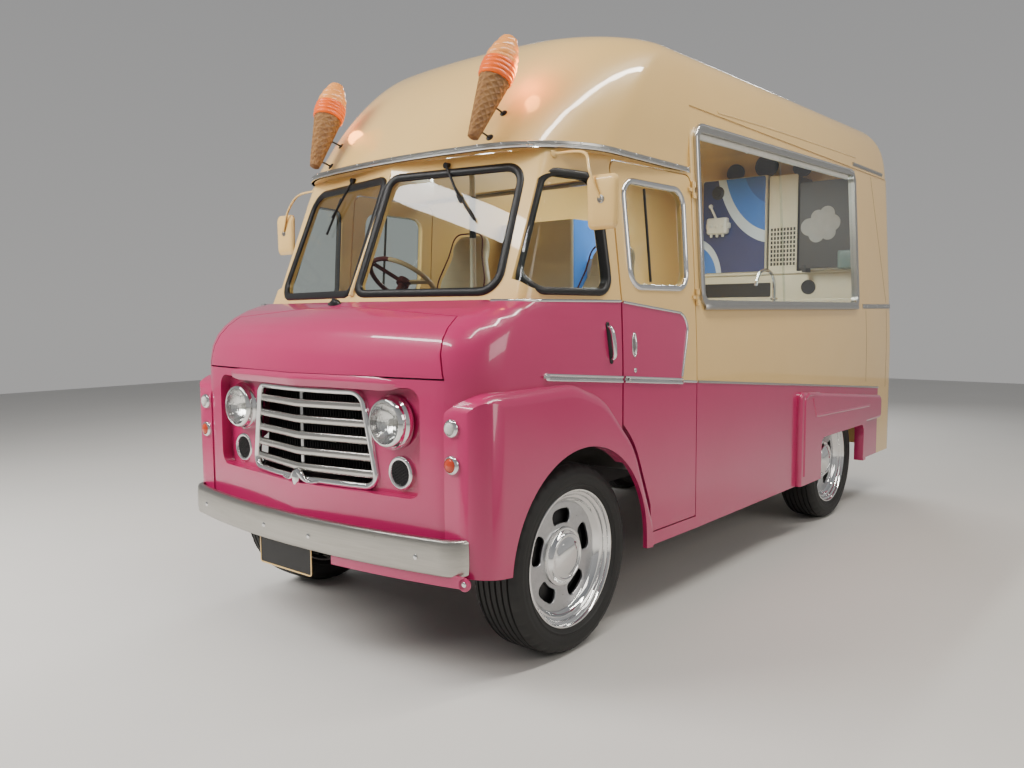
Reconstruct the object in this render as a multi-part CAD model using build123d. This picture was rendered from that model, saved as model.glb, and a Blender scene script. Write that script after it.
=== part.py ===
"""An ice cream truck: forward-control cab, domed roof and serving hatch on the left side.

Sizes are in millimetres. While it is modelled, X is 0 on the front axle and points forward,
Y points to the vehicle's left and Z is 0 on the ground. save() moves each piece so that X is 0
midway between the two bumpers.
"""

from build123d import *
import os

os.makedirs("parts", exist_ok=True)

# Overall layout
WHEELBASE = 3200
FRONT_OVERHANG = 830
REAR_OVERHANG = 1400
TO_CENTRE = (WHEELBASE + REAR_OVERHANG - FRONT_OVERHANG) / 2
SEAT_GAP = 0.3
BODY_WALL = 35
MOVING_GAP = 7

# Stations along the truck
DOOR_FRONT_X = -320
DOOR_REAR_X = -1020
BODY_REAR_X = -(WHEELBASE + REAR_OVERHANG) + 40
REAR_CORNER_R = 220
CORNER_PANEL_X = BODY_REAR_X + 260

# Levels
SKIRT_Z = 360
NOSE_BOTTOM_Z = 505
FLOOR_Z = 690
FLOOR_THICK = 28
CAB_FLOOR_Z = 955
WAIST_Z = 1550
RAIL_Z = 2205
SIDE_TOP_Z = 2550
SCUTTLE_SKIN = 20

# Wheels and axles
TYRE_R = 420
TYRE_WIDTH = 250
WHEEL_Y = 831
RIM_SEAT_R = 290
RIM_LIP_R = 306
RIM_WIDTH = 214
RIM_WALL = 9
DISC_THICK = 14
HUB_R = 78
SPINDLE_R = 28
BEARING_GAP = 0.05
KINGPIN_Y = 700
KINGPIN_R = 15
EYE_R = 34
EYE_HALF = 46
EAR_THICK = 26

# Chassis
RAIL_Y = 400
RAIL_WIDTH = 60
RAIL_HEIGHT = 130
RAIL_WEB = 8
RAIL_FRONT_X = 560
RAIL_REAR_X = BODY_REAR_X + 120


def block(x0, x1, y0, y1, z0, z1):
    """A box between two corners."""
    centre = Pos((x0 + x1) / 2, (y0 + y1) / 2, (z0 + z1) / 2)
    return centre * Box(x1 - x0, y1 - y0, z1 - z0)


def rod_y(x, z, radius, y0, y1):
    """A cylinder along Y."""
    return Pos(x, (y0 + y1) / 2, z) * Rot(90, 0, 0) * Cylinder(radius, y1 - y0)


def rod_x(y, z, radius, x0, x1):
    """A cylinder along X."""
    return Pos((x0 + x1) / 2, y, z) * Rot(0, 90, 0) * Cylinder(radius, x1 - x0)


def rod_z(x, y, radius, z0, z1):
    """A cylinder along Z."""
    return Pos(x, y, (z0 + z1) / 2) * Cylinder(radius, z1 - z0)


def rod_between(start, end, radius):
    """A round bar from one point to another."""
    line = Line(start, end)
    return extrude(Plane(origin=start, z_dir=line % 0) * Circle(radius), line.length)


def polygon(points, radii=()):
    """A flat face through 3-D points. radii maps a point's number to its corner radius."""
    face = Face(Wire.make_polygon([Vector(*p) for p in points], close=True))
    for number, radius in dict(radii).items():
        corner = Vector(*points[number])
        vertex = min(face.vertices(), key=lambda v: (Vector(*tuple(v)) - corner).length)
        face = face.fillet_2d(radius, [vertex])
    return face


def side_shape(outline, y0, y1, radii=()):
    """A side-view outline of (x, z) points, as a solid from y0 to y1."""
    face = polygon([(x, y0, z) for x, z in outline], radii)
    return extrude(face, abs(y1 - y0), dir=(0, 1 if y1 > y0 else -1, 0))


def front_shape(outline, x0, x1, radii=()):
    """A front-view outline of (y, z) points, as a solid from x0 to x1."""
    face = polygon([(x0, y, z) for y, z in outline], radii)
    return extrude(face, abs(x1 - x0), dir=(1 if x1 > x0 else -1, 0, 0))


def other_side(shape):
    """The same piece on the vehicle's right."""
    return mirror(shape, about=Plane.XZ)


def solids_of(shapes):
    """Every solid in a list of shapes."""
    found = []
    for shape in shapes:
        found += shape.solids()
    return found


def save(node, *shapes):
    """Write one node, with X measured from midway between the bumpers."""
    piece = Compound(children=[Pos(TO_CENTRE, 0, 0) * s for s in solids_of(shapes)])
    export_step(piece, f"parts/{node}.step")


# The body's plan at each level. Columns: level, nose on the centre line, front corner x,
# half width there, its radius, half width at the door's front edge, half width of the body.
LOWER_PLANS = (
    (SKIRT_Z, 775, 655, 962, 230, 986, 1000),
    (1150, 775, 655, 962, 230, 986, 1000),
    (1265, 774, 654, 960, 230, 985, 998),
    (1340, 762, 641, 956, 228, 983, 996),
    (1395, 735, 612, 949, 220, 981, 993),
    (1440, 696, 570, 940, 208, 980, 991),
    (1480, 641, 512, 929, 190, 978, 989),
    (1515, 572, 438, 917, 170, 977, 987),
    (WAIST_Z, 470, 330, 905, 150, 976, 985),
)
NOSE_ROWS = 4
UPPER_PLANS = (
    (WAIST_Z, 444, 264, 877, 60, 976, 985),
    (SIDE_TOP_Z, 10, -124, 785, 60, 860, 929),
)


def plan_face(row, inset=0.0):
    """The body's outline at one level, drawn in by inset."""
    level, nose_x, corner_x, corner_y, corner_r, door_y, body_y = row
    left = [
        (corner_x, corner_y),
        (DOOR_FRONT_X, door_y),
        (DOOR_REAR_X, body_y),
        (BODY_REAR_X, body_y),
    ]
    right = [(x, -y) for x, y in reversed(left)]
    points = [(x, y, level) for x, y in [(nose_x, 0), *left, *right]]
    radii = {1: corner_r, 4: REAR_CORNER_R, 5: REAR_CORNER_R, 8: corner_r}
    face = polygon(points, radii)
    if inset:
        face = offset(face, amount=-inset, kind=Kind.INTERSECTION).face()
    return face


def envelope(plans, inset=0.0):
    """The solid inside a stack of plans."""
    return loft([plan_face(row, inset) for row in plans], ruled=True)


lower_outer = envelope(LOWER_PLANS)
lower_inner = envelope(LOWER_PLANS, BODY_WALL)
upper_outer = envelope(UPPER_PLANS)
upper_inner = envelope(UPPER_PLANS, BODY_WALL)

skin_top = block(-9000, 2000, -1500, 1500, WAIST_Z - SCUTTLE_SKIN, WAIST_Z + 50)
room_opening = extrude(plan_face(UPPER_PLANS[0], BODY_WALL), 100, both=True)
lower_shell = lower_outer - (lower_inner - skin_top) - room_opening
upper_shell = upper_outer - upper_inner

# The roof's plan at each level, before it is tilted. Columns: level, nose on the centre line,
# front corner x, half width there, its radius, rear x, half width there, its radius.
ROOF_PLANS = (
    (2150, 238, 110, 938, 450, BODY_REAR_X, 938, 240),
    (2400, 92, -70, 937, 465, BODY_REAR_X + 2, 937, 250),
    (2620, -111, -255, 926, 480, BODY_REAR_X + 33, 926, 270),
    (2723, -233, -362, 908, 487, BODY_REAR_X + 100, 908, 300),
    (2790, -333, -455, 877, 490, BODY_REAR_X + 225, 877, 360),
    (2820, -410, -520, 800, 460, BODY_REAR_X + 410, 800, 400),
    (2842, -560, -620, 640, 380, BODY_REAR_X + 710, 640, 380),
    (2858, -900, -930, 380, 180, BODY_REAR_X + 1260, 380, 180),
)
ROOF_CROWN_ROW = 5
ROOF_RAKE = 1.1
ROOF_WALL = 30
ROOF_BOW_R = 3200


def roof_face(row, inset=0.0):
    """The roof's outline at one level, drawn in by inset."""
    level, nose_x, corner_x, corner_y, corner_r, rear_x, rear_y, rear_r = row
    left = [(corner_x, corner_y), (rear_x, rear_y)]
    right = [(x, -y) for x, y in reversed(left)]
    points = [(x, y, level - inset) for x, y in [(nose_x, 0), *left, *right]]
    bow_r = ROOF_BOW_R * corner_y / ROOF_PLANS[0][3]
    face = polygon(points, {1: corner_r, 4: corner_r, 2: rear_r, 3: rear_r, 0: bow_r})
    if inset:
        face = offset(face, amount=-inset, kind=Kind.INTERSECTION).face()
    return face


def roof_envelope(inset=0.0):
    """The roof as a closed dome, tilted nose down about the front of the rail."""
    faces = [roof_face(row, inset) for row in ROOF_PLANS]
    dome = loft(faces[: ROOF_CROWN_ROW + 1]) + loft(faces[ROOF_CROWN_ROW:], ruled=True)
    pivot = Pos(ROOF_PLANS[0][1], 0, RAIL_Z)
    return pivot * Rot(0, ROOF_RAKE, 0) * pivot.inverse() * dome


def roof():
    """The domed roof: it comes down to the rail over the cab and to the side tops behind."""
    shell = roof_envelope() - roof_envelope(ROOF_WALL)
    shell -= block(-9000, 2000, -1500, 1500, 1500, RAIL_Z)
    shell -= block(-9000, DOOR_REAR_X, -1500, 1500, 1500, SIDE_TOP_Z)
    return shell


# The fixed panels of the cab and the box
SCREEN_FOOT_Z = 1592
SCREEN_HEAD_Z = 2128
SCREEN_MID_HALF = 24
SCREEN_FOOT_HALF = 740
SCREEN_HEAD_HALF = 712
GLASS_THICK = 6
GLASS_INSET = 14


def screen_opening(clear=0.0):
    """One pane's opening in front view, left pane."""
    mid = SCREEN_MID_HALF + clear
    outline = [
        (mid, SCREEN_FOOT_Z + clear),
        (SCREEN_FOOT_HALF - clear, SCREEN_FOOT_Z + clear),
        (SCREEN_HEAD_HALF - clear, SCREEN_HEAD_Z - clear),
        (mid, SCREEN_HEAD_Z - clear),
    ]
    return front_shape(outline, -120, 600, {0: 45, 1: 75, 2: 85, 3: 45})


QUARTER = ((272, 1598), (58, 2093), (-225, 2090), (-243, 1594))
QUARTER_RADII = {0: 52, 1: 60, 2: 60, 3: 60}
QUARTER_INNER_Y = 800
DOOR_WINDOW = ((-425, 1622), (-425, 2098), (-925, 2098), (-925, 1622))
DOOR_WINDOW_R = 75


def shrunk(points, clear):
    """A window's outline drawn in towards its middle by about clear on each side."""
    mid_x = sum(x for x, _ in points) / len(points)
    mid_z = sum(z for _, z in points) / len(points)
    small = []
    for x, z in points:
        small.append((x - clear if x > mid_x else x + clear, z - clear if z > mid_z else z + clear))
    return small


def quarter_opening(clear=0.0):
    """The fixed window that wraps the cab's corner behind the screen pillar, left side."""
    return side_shape(shrunk(QUARTER, clear), QUARTER_INNER_Y + clear, 1200, QUARTER_RADII)


def door_window_opening(clear=0.0):
    """The door's window, left side."""
    outline = shrunk(DOOR_WINDOW, clear)
    return side_shape(outline, 600, 1200, {n: DOOR_WINDOW_R for n in range(4)})


upper_glass = envelope(UPPER_PLANS, GLASS_INSET) - envelope(UPPER_PLANS, GLASS_INSET + GLASS_THICK)

cab_zone = block(DOOR_FRONT_X, 700, -1300, 1300, WAIST_Z, RAIL_Z)


def cab_upper():
    """The moulding round the cab's front: both panes' and both quarter windows' openings."""
    panel = upper_shell & cab_zone
    for opening in (screen_opening(), quarter_opening()):
        panel -= opening
        panel -= other_side(opening)
    return panel


def cab_glass():
    """Windscreen panes and quarter windows."""
    pane = upper_glass & screen_opening(SEAT_GAP)
    quarter = upper_glass & quarter_opening(SEAT_GAP)
    return [pane, other_side(pane), quarter, other_side(quarter)]


# Nose, bonnet and lower cab sides
SEAM_FOOT_Y = 815
SEAM_HEAD_Y = 745
BONNET_FOOT_Z = 1246
BONNET_REAR_X = 530
NOSE_REAR_X = 300
FASCIA_HALF = 700
FASCIA_FOOT_Z = 765
FASCIA_HEAD_Z = 1205
FASCIA_DEPTH = 52
FASCIA_R = 60
GRILLE_HEAD_HALF = 358
GRILLE_FOOT_HALF = 432
GRILLE_HEAD_Z = 1172
GRILLE_FOOT_Z = 745 + 35


def seam_zone(grow):
    """What lies between the two nose seams, in front view."""
    foot = SEAM_FOOT_Y + grow
    head = SEAM_HEAD_Y + grow
    outline = [(-foot, 300), (foot, 300), (foot, BONNET_FOOT_Z), (head, WAIST_Z + 1)]
    outline += [(-head, WAIST_Z + 1), (-foot, BONNET_FOOT_Z)]
    return front_shape(outline, NOSE_REAR_X, 1000)


HEADLAMP = (525, 1059)
HEADLAMP_R = 112
HEADLAMP_BODY_R = 88
HORN = (555, 853)
HORN_R = 68
HORN_MESH_R = 53
LAMP_SEATS = ((HEADLAMP, HEADLAMP_R, HEADLAMP_BODY_R), (HORN, HORN_R, HORN_MESH_R))


def fascia_face_x(y):
    """Where the recessed fascia's face is, at distance y from the centre line."""
    nose_x, corner_x, corner_y = LOWER_PLANS[1][1:4]
    return nose_x - (nose_x - corner_x) * abs(y) / corner_y - FASCIA_DEPTH


def fascia_recess():
    """The step back in the nose around grille and lamps."""
    face_in = envelope(LOWER_PLANS[:NOSE_ROWS], FASCIA_DEPTH)
    outline = [
        (-FASCIA_HALF, FASCIA_FOOT_Z),
        (FASCIA_HALF, FASCIA_FOOT_Z),
        (FASCIA_HALF, FASCIA_HEAD_Z),
        (-FASCIA_HALF, FASCIA_HEAD_Z),
    ]
    hole = front_shape(outline, 560, 900, {n: FASCIA_R for n in range(4)})
    return hole - face_in


def grille_outline(grow):
    """The grille's opening in front view, wider at the foot."""
    foot = GRILLE_FOOT_HALF + grow
    head = GRILLE_HEAD_HALF + grow
    low = GRILLE_FOOT_Z - grow
    high = GRILLE_HEAD_Z + grow
    return [(-foot, low), (foot, low), (head, high), (-head, high)]


def nose_panel():
    """The nose below the bonnet, with the recessed fascia, grille opening and lamp holes."""
    zone = seam_zone(0) - block(0, 1000, -1300, 1300, BONNET_FOOT_Z - MOVING_GAP, 1700)
    thick_inner = envelope(LOWER_PLANS[:NOSE_ROWS], FASCIA_DEPTH + BODY_WALL / 2)
    front = lower_outer - thick_inner
    panel = (front & zone) - block(-500, 1000, -1300, 1300, 0, NOSE_BOTTOM_Z)
    panel -= fascia_recess()
    opening = front_shape(grille_outline(0), 400, 900, {0: 40, 1: 40, 2: 55, 3: 55})
    panel -= opening
    for side in (1, -1):
        for (y, z), rim_r, body_r in LAMP_SEATS:
            panel -= rod_x(side * y, z, rim_r + SEAT_GAP, fascia_face_x(y), 900)
            panel -= rod_x(side * y, z, body_r + SEAT_GAP, 400, 900)
        panel -= bracket(side, 400, 900, SEAT_GAP)
    return panel


def bonnet():
    """The lid over the nose, hinged along its rear edge under the windscreen."""
    zone = seam_zone(-MOVING_GAP) & block(BONNET_REAR_X, 1000, -1300, 1300, BONNET_FOOT_Z, WAIST_Z)
    return lower_shell & zone


def cowl():
    """The strip between bonnet and windscreen."""
    rear_x = BONNET_REAR_X - MOVING_GAP
    zone = block(NOSE_REAR_X, rear_x, -1300, 1300, BONNET_FOOT_Z, WAIST_Z)
    return (lower_shell & zone) & seam_zone(0)


# The front fenders
ARCH_R = 505
ARCH_Z = 415
FENDER_Y = 1012
FENDER_WALL = 24
FENDER_CROWN_Z = 1192
FENDER_FRONT_X = 674
FENDER_MERGE_X = 470
FENDER_OUTLINE = (
    (FENDER_FRONT_X, SKIRT_Z + 130),
    (FENDER_FRONT_X, 1130),
    (FENDER_FRONT_X - 80, FENDER_CROWN_Z),
    (60, FENDER_CROWN_Z + 8),
    (-170, 1120),
    (-420, 880),
    (-560, 560),
    (-565, SKIRT_Z),
)
FENDER_RADII = {1: 95, 2: 140, 3: 380, 4: 330, 5: 420}
FENDER_EDGE_R = 58
FENDER_CORNER_R = 130
FENDER_INNER_Y = SEAM_FOOT_Y


def arch(radius, y0, y1):
    """The wheel's room: a round top with straight sides down to the ground."""
    head = rod_y(0, ARCH_Z, radius, y0, y1)
    return head + block(-radius, radius, y0, y1, 0, ARCH_Z)


def fender_outer(inset=0.0):
    """The fender's outer form with its rounded edge, or the same drawn in."""
    face = polygon([(x, 0, z) for x, z in FENDER_OUTLINE], FENDER_RADII)
    if inset:
        face = offset(face, amount=-inset, kind=Kind.INTERSECTION).face()
    reach = FENDER_Y - inset
    form = extrude(face, reach, dir=(0, 1, 0))
    rim = form.edges().filter_by_position(Axis.Y, reach - 1, reach + 1)
    rim = [e for e in rim if e.center().Z > ARCH_Z + 60]
    form = fillet(rim, FENDER_EDGE_R - inset)
    plan = polygon(
        [
            (FENDER_FRONT_X - inset, FENDER_INNER_Y - 300, 0),
            (FENDER_FRONT_X - inset, reach, 0),
            (-700, reach, 0),
            (-700, FENDER_INNER_Y - 300, 0),
        ],
        {1: FENDER_CORNER_R - inset},
    )
    return form & extrude(plan, 2000, dir=(0, 0, 1))


def fender_nose_zone():
    """Where the fender itself is the body's skin, ahead of the cab side."""
    return block(FENDER_MERGE_X, 1000, 0, 1300, 0, 2000)


def front_fender():
    """The left front fender: a thin skin proud of the cab side, round the wheel arch."""
    skin = fender_outer() - fender_outer(FENDER_WALL)
    skin -= arch(ARCH_R, 0, 1300)
    skin -= lower_outer - fender_nose_zone()
    skin -= block(-2000, 2000, -2000, FENDER_INNER_Y, 0, 2000)
    pieces = sorted(skin.solids(), key=lambda s: s.volume)
    return pieces[-1]


def cab_side():
    """The lower cab side between nose and door, cut away for the wheel."""
    zone = block(DOOR_FRONT_X, 1000, 0, 1300, NOSE_BOTTOM_Z, WAIST_Z)
    panel = (lower_shell & zone) - seam_zone(0)
    panel -= arch(ARCH_R, 0, 1300)
    panel -= fender_outer() & fender_nose_zone()
    return max(panel.solids(), key=lambda s: s.volume)


# The cab doors
HINGE_LEAN = (UPPER_PLANS[0][6] - UPPER_PLANS[1][6]) / (UPPER_PLANS[1][0] - UPPER_PLANS[0][0])
DOOR_FOOT_Z = 430
DOOR_HEAD_Z = RAIL_Z - 18
DOOR_GAP = 12


def fender_clearance():
    """The fender's outline, grown by the door's gap."""
    face = polygon([(x, 700, z) for x, z in FENDER_OUTLINE], FENDER_RADII)
    face = offset(face, amount=DOOR_GAP, kind=Kind.ARC).face()
    return extrude(face, 600, dir=(0, 1, 0))


def door_zone(grow=0.0):
    """The door's outline in side view."""
    outline = [
        (DOOR_FRONT_X - DOOR_GAP + grow, DOOR_FOOT_Z - grow),
        (DOOR_REAR_X + MOVING_GAP - grow, DOOR_FOOT_Z - grow),
        (DOOR_REAR_X + MOVING_GAP - grow, DOOR_HEAD_Z + grow),
        (DOOR_FRONT_X - DOOR_GAP + grow, DOOR_HEAD_Z + grow),
    ]
    return side_shape(outline, 700, 1200, {2: 50, 3: 50})


# The door's hinges: a pin on the body side, and a knuckle on the door that turns on it.
HINGE_X = DOOR_REAR_X - 2
HINGE_PROUD = 9
HINGE_LEVELS = (1570, 2120)
HINGE_PIN_R = 4
HINGE_KNUCKLE_R = 8
HINGE_KNUCKLE_HALF = 14
HINGE_LEAF_HALF = 9
HINGE_STRAP = 36
HINGE_ROOM_R = 14
HINGE_FOOT_DEEP = 6


def hinge_point(z):
    """Where the door's hinge line is at one height. It leans in with the side."""
    return (HINGE_X, box_wall_y(WAIST_Z) + HINGE_PROUD - HINGE_LEAN * (z - WAIST_Z), z)


def hinge_strap(z0, z1, x0, x1):
    """A flat strap on the side, just proud of it."""
    outline = [
        (hinge_point(z0)[1] - HINGE_PROUD + SEAT_GAP, z0),
        (hinge_point(z0)[1], z0),
        (hinge_point(z1)[1], z1),
        (hinge_point(z1)[1] - HINGE_PROUD + SEAT_GAP, z1),
    ]
    return front_shape(outline, x0, x1)


def hinge_on_body(z):
    """The fixed half of one hinge: two knuckles with the pin through them, and a strap."""
    h = HINGE_KNUCKLE_HALF
    whole = rod_between(hinge_point(z - 3 * h), hinge_point(z + 3 * h), HINGE_PIN_R)
    for side in (1, -1):
        near = z + side * (h + 1)
        far = z + side * 3 * h
        low = min(near, far)
        high = max(near, far)
        whole += rod_between(hinge_point(low), hinge_point(high), HINGE_KNUCKLE_R)
        whole += hinge_strap(low, high, HINGE_X - HINGE_STRAP, HINGE_X)
    return whole


def hinge_on_door(z, bore=0.0):
    """The door's half of one hinge: a bored knuckle and its strap."""
    h = HINGE_KNUCKLE_HALF
    s = HINGE_LEAF_HALF
    whole = rod_between(hinge_point(z - h), hinge_point(z + h), HINGE_KNUCKLE_R)
    whole += hinge_strap(z - s, z + s, HINGE_X, DOOR_REAR_X + HINGE_STRAP)
    hole = rod_between(hinge_point(z - 2 * h), hinge_point(z + 2 * h), HINGE_PIN_R + BEARING_GAP)
    return whole - hole


def hinge_room():
    """The room that the knuckles take out of the panels beside them."""
    rooms = []
    for z in HINGE_LEVELS:
        h = HINGE_KNUCKLE_HALF
        rooms.append(rod_between(hinge_point(z - h - 6), hinge_point(z + h + 6), HINGE_ROOM_R))
    return rooms


def door():
    """The left cab door, in one with its window frame and its hinge knuckles."""
    whole = (lower_shell + upper_shell) & door_zone()
    whole -= fender_clearance()
    whole -= door_window_opening()
    for z in HINGE_LEVELS:
        s = HINGE_LEAF_HALF
        foot = hinge_strap(z - s, z + s, DOOR_REAR_X + 20, DOOR_REAR_X + HINGE_STRAP)
        whole += hinge_on_door(z) + Pos(0, -HINGE_FOOT_DEEP, 0) * foot
    return whole


def door_glass():
    """The left door's pane."""
    return upper_glass & door_window_opening(SEAT_GAP)


def door_header():
    """The strip over the door and the sill under it."""
    zone = block(DOOR_REAR_X, DOOR_FRONT_X, 700, 1300, DOOR_HEAD_Z - 120, RAIL_Z)
    head = (upper_shell & zone) - door_zone(MOVING_GAP)
    sill_zone = block(DOOR_REAR_X, -577, 700, 1300, SKIRT_Z, DOOR_FOOT_Z - MOVING_GAP)
    sill = lower_shell & sill_zone
    return [head, sill, *[hinge_on_body(z) for z in HINGE_LEVELS]]


def box_wall_y(z):
    """The box's outer face at one height above the waist."""
    low, high = UPPER_PLANS
    return low[6] + (high[6] - low[6]) * (z - low[0]) / (high[0] - low[0])


# The box body
REAR_ARCH_FRONT_X = -(WHEELBASE - 445)
REAR_ARCH_REAR_X = -(WHEELBASE + 445)
REAR_ARCH_Z = 640
HATCH_FRONT_X = -1085
HATCH_REAR_X = -3560
HATCH_FOOT_Z = 1535
HATCH_HEAD_FRONT_Z = 2452
HATCH_HEAD_REAR_Z = 2512
HATCH_R = 70
HATCH_PROUD = 14


def hatch_outline(grow):
    """The serving hatch in side view, its head rising rearward."""
    return [
        (HATCH_FRONT_X + grow, HATCH_FOOT_Z - grow),
        (HATCH_REAR_X - grow, HATCH_FOOT_Z - grow),
        (HATCH_REAR_X - grow, HATCH_HEAD_REAR_Z + grow),
        (HATCH_FRONT_X + grow, HATCH_HEAD_FRONT_Z + grow),
    ]


def hatch_prism(grow, radius):
    """The hatch as a solid through the left side."""
    return side_shape(hatch_outline(grow), 800, 1200, {n: radius for n in range(4)})


def rear_arch(y0, y1, grow=0.0):
    """The rear wheel's opening: square, with rounded top corners."""
    outline = [
        (REAR_ARCH_FRONT_X + grow, 0),
        (REAR_ARCH_FRONT_X + grow, REAR_ARCH_Z + grow),
        (REAR_ARCH_REAR_X - grow, REAR_ARCH_Z + grow),
        (REAR_ARCH_REAR_X - grow, 0),
    ]
    return side_shape(outline, y0, y1, {1: 60 + grow, 2: 60 + grow})


def body_side():
    """One side of the box, from the cab door to the rear corner, with no hatch."""
    zone = block(CORNER_PANEL_X, DOOR_REAR_X, 0, 1300, SKIRT_Z, SIDE_TOP_Z)
    panel = (lower_shell + upper_shell) & zone
    for room in hinge_room():
        panel -= room
    return panel - rear_arch(700, 1300)


REAR_DOOR_HALF = 360
REAR_DOOR_FOOT_Z = 640
REAR_DOOR_HEAD_Z = 2300
REAR_WINDOW = (260, 1620, 2120)


def rear_door_zone(grow=0.0):
    """The rear door's outline in rear view."""
    half = REAR_DOOR_HALF + grow
    low = REAR_DOOR_FOOT_Z - grow
    high = REAR_DOOR_HEAD_Z + grow
    outline = [(-half, low), (half, low), (half, high), (-half, high)]
    return front_shape(outline, BODY_REAR_X - 100, BODY_REAR_X + 200, {2: 60, 3: 60})


def rear_window(clear=0.0):
    """The rear door's window."""
    half, low, high = REAR_WINDOW
    outline = [
        (-half + clear, low + clear),
        (half - clear, low + clear),
        (half - clear, high - clear),
        (-half + clear, high - clear),
    ]
    return front_shape(outline, BODY_REAR_X - 100, BODY_REAR_X + 200, {n: 60 for n in range(4)})


def rear_panel():
    """The rear wall with both rounded corners, round the rear door."""
    zone = block(BODY_REAR_X - 50, CORNER_PANEL_X, -1300, 1300, SKIRT_Z, SIDE_TOP_Z)
    panel = (lower_shell + upper_shell) & zone
    for side in (1, -1):
        panel -= bracket(side, BODY_REAR_X - 100, CORNER_PANEL_X, SEAT_GAP)
    return panel - rear_door_zone(MOVING_GAP)


def rear_door():
    """The door in the rear wall."""
    return ((lower_shell + upper_shell) & rear_door_zone()) - rear_window()


def rear_glass():
    """The rear door's pane, in the middle of the wall."""
    mid = BODY_REAR_X + GLASS_INSET
    slab = block(mid, mid + GLASS_THICK, -900, 900, 1000, 2400)
    return slab & rear_window(SEAT_GAP)


def hatch_side():
    """The left side, with the serving hatch cut."""
    return body_side() - hatch_prism(0, HATCH_R)


def wall_slab(outer, inner, x0=BODY_REAR_X, x1=DOOR_REAR_X):
    """A slab of the left wall's plane, from outer to inner measured outwards from its face."""
    low = HATCH_FOOT_Z - 100
    high = SIDE_TOP_Z + 50
    outline = [
        (box_wall_y(low) + outer, low),
        (box_wall_y(high) + outer, high),
        (box_wall_y(high) + inner, high),
        (box_wall_y(low) + inner, low),
    ]
    return front_shape(outline, x0, x1)


HATCH_LIP = 22


def hatch_frame():
    """The aluminium frame round the hatch: a flange on the wall and a lip through it."""
    inside = hatch_prism(-HATCH_LIP, HATCH_R - HATCH_LIP)
    flange = wall_slab(HATCH_PROUD, SEAT_GAP + 0.5) & hatch_prism(HATCH_LIP, HATCH_R + HATCH_LIP)
    lip = wall_slab(HATCH_PROUD, 5 - BODY_WALL) & hatch_prism(-SEAT_GAP, HATCH_R)
    return flange + lip - inside


HATCH_MULLION_X = -2230
HATCH_LAP = 30


def hatch_glass():
    """The two panes of the hatch, one behind the other at the middle."""
    hole = hatch_prism(-HATCH_LIP - SEAT_GAP, HATCH_R - HATCH_LIP)
    front = wall_slab(-22, -22 - GLASS_THICK, HATCH_MULLION_X - HATCH_LAP, DOOR_REAR_X)
    rear = wall_slab(-8, -8 - GLASS_THICK, BODY_REAR_X, HATCH_MULLION_X + HATCH_LAP)
    return [front & hole, rear & hole]


# Rear fenders
REAR_FENDER_Y = 1034
REAR_FENDER_FRONT_X = -(WHEELBASE - 815)
REAR_FENDER_REAR_X = -(WHEELBASE + 885)
REAR_FENDER_LEG_X = REAR_ARCH_REAR_X - 60
REAR_FENDER_TAIL_Z = 648
REAR_FENDER_EDGE_R = 22


def rear_fender():
    """The left rear fender, a raised panel over the wheel."""
    outline = [
        (REAR_FENDER_FRONT_X, SKIRT_Z),
        (REAR_FENDER_FRONT_X, 978),
        (REAR_FENDER_REAR_X, 828),
        (REAR_FENDER_REAR_X, REAR_FENDER_TAIL_Z),
        (REAR_FENDER_LEG_X, REAR_FENDER_TAIL_Z),
        (REAR_FENDER_LEG_X, SKIRT_Z),
    ]
    panel = side_shape(outline, 940, REAR_FENDER_Y, {1: 45, 2: 55, 3: 40})
    rim = panel.edges().filter_by_position(Axis.Y, REAR_FENDER_Y - 1, REAR_FENDER_Y + 1)
    rim = [e for e in rim if e.center().Z > 700]
    panel = fillet(rim, REAR_FENDER_EDGE_R)
    panel -= lower_outer
    return panel - rear_arch(700, 1300)


# Chassis and running gear
def chassis():
    """Two channel rails with cross members."""
    top = FLOOR_Z - FLOOR_THICK
    low = top - RAIL_HEIGHT
    pieces = []
    for side in (1, -1):
        y_out = side * (RAIL_Y + RAIL_WIDTH / 2)
        y_in = side * (RAIL_Y - RAIL_WIDTH / 2)
        rail = block(RAIL_REAR_X, RAIL_FRONT_X, min(y_out, y_in), max(y_out, y_in), low, top)
        web_in = side * (RAIL_Y + RAIL_WIDTH / 2 - RAIL_WEB)
        room = block(
            RAIL_REAR_X,
            RAIL_FRONT_X,
            min(web_in, y_in),
            max(web_in, y_in),
            low + RAIL_WEB,
            top - RAIL_WEB,
        )
        pieces.append(rail - room)
    inner = RAIL_Y + RAIL_WIDTH / 2 - RAIL_WEB
    frame = pieces[0] + pieces[1]
    for x in (RAIL_FRONT_X - 40, -700, -1500, -2300, -3900, RAIL_REAR_X + 60):
        frame += rod_y(x, (low + top) / 2, 34, -inner, inner)
    return frame


BEAM_HALF = 30
BEAM_LOW_Z = 300
BEAM_HIGH_Z = 372
SPRING_Y = 400
SPRING_WIDTH = 60


def front_axle():
    """The drop beam with an eye and a kingpin at each end."""
    end = KINGPIN_Y - EYE_R
    low = TYRE_R - EYE_HALF + 4
    high = TYRE_R + EYE_HALF - 8
    right_half = [(end - 120, BEAM_LOW_Z), (end - 8, low), (end + 8, low)]
    right_half += [(end + 8, high), (end - 8, high), (end - 130, BEAM_HIGH_Z)]
    outline = right_half + [(-y, z) for y, z in reversed(right_half)]
    beam = front_shape(outline, -BEAM_HALF, BEAM_HALF)
    for side in (1, -1):
        y = side * KINGPIN_Y
        beam += rod_z(0, y, EYE_R, TYRE_R - EYE_HALF, TYRE_R + EYE_HALF)
        pin_half = EYE_HALF + EAR_THICK + 6
        beam += rod_z(0, y, KINGPIN_R, TYRE_R - pin_half, TYRE_R + pin_half)
    return beam


EAR_GAP = 0.5
SPINDLE_END_Y = WHEEL_Y + 62


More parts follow.
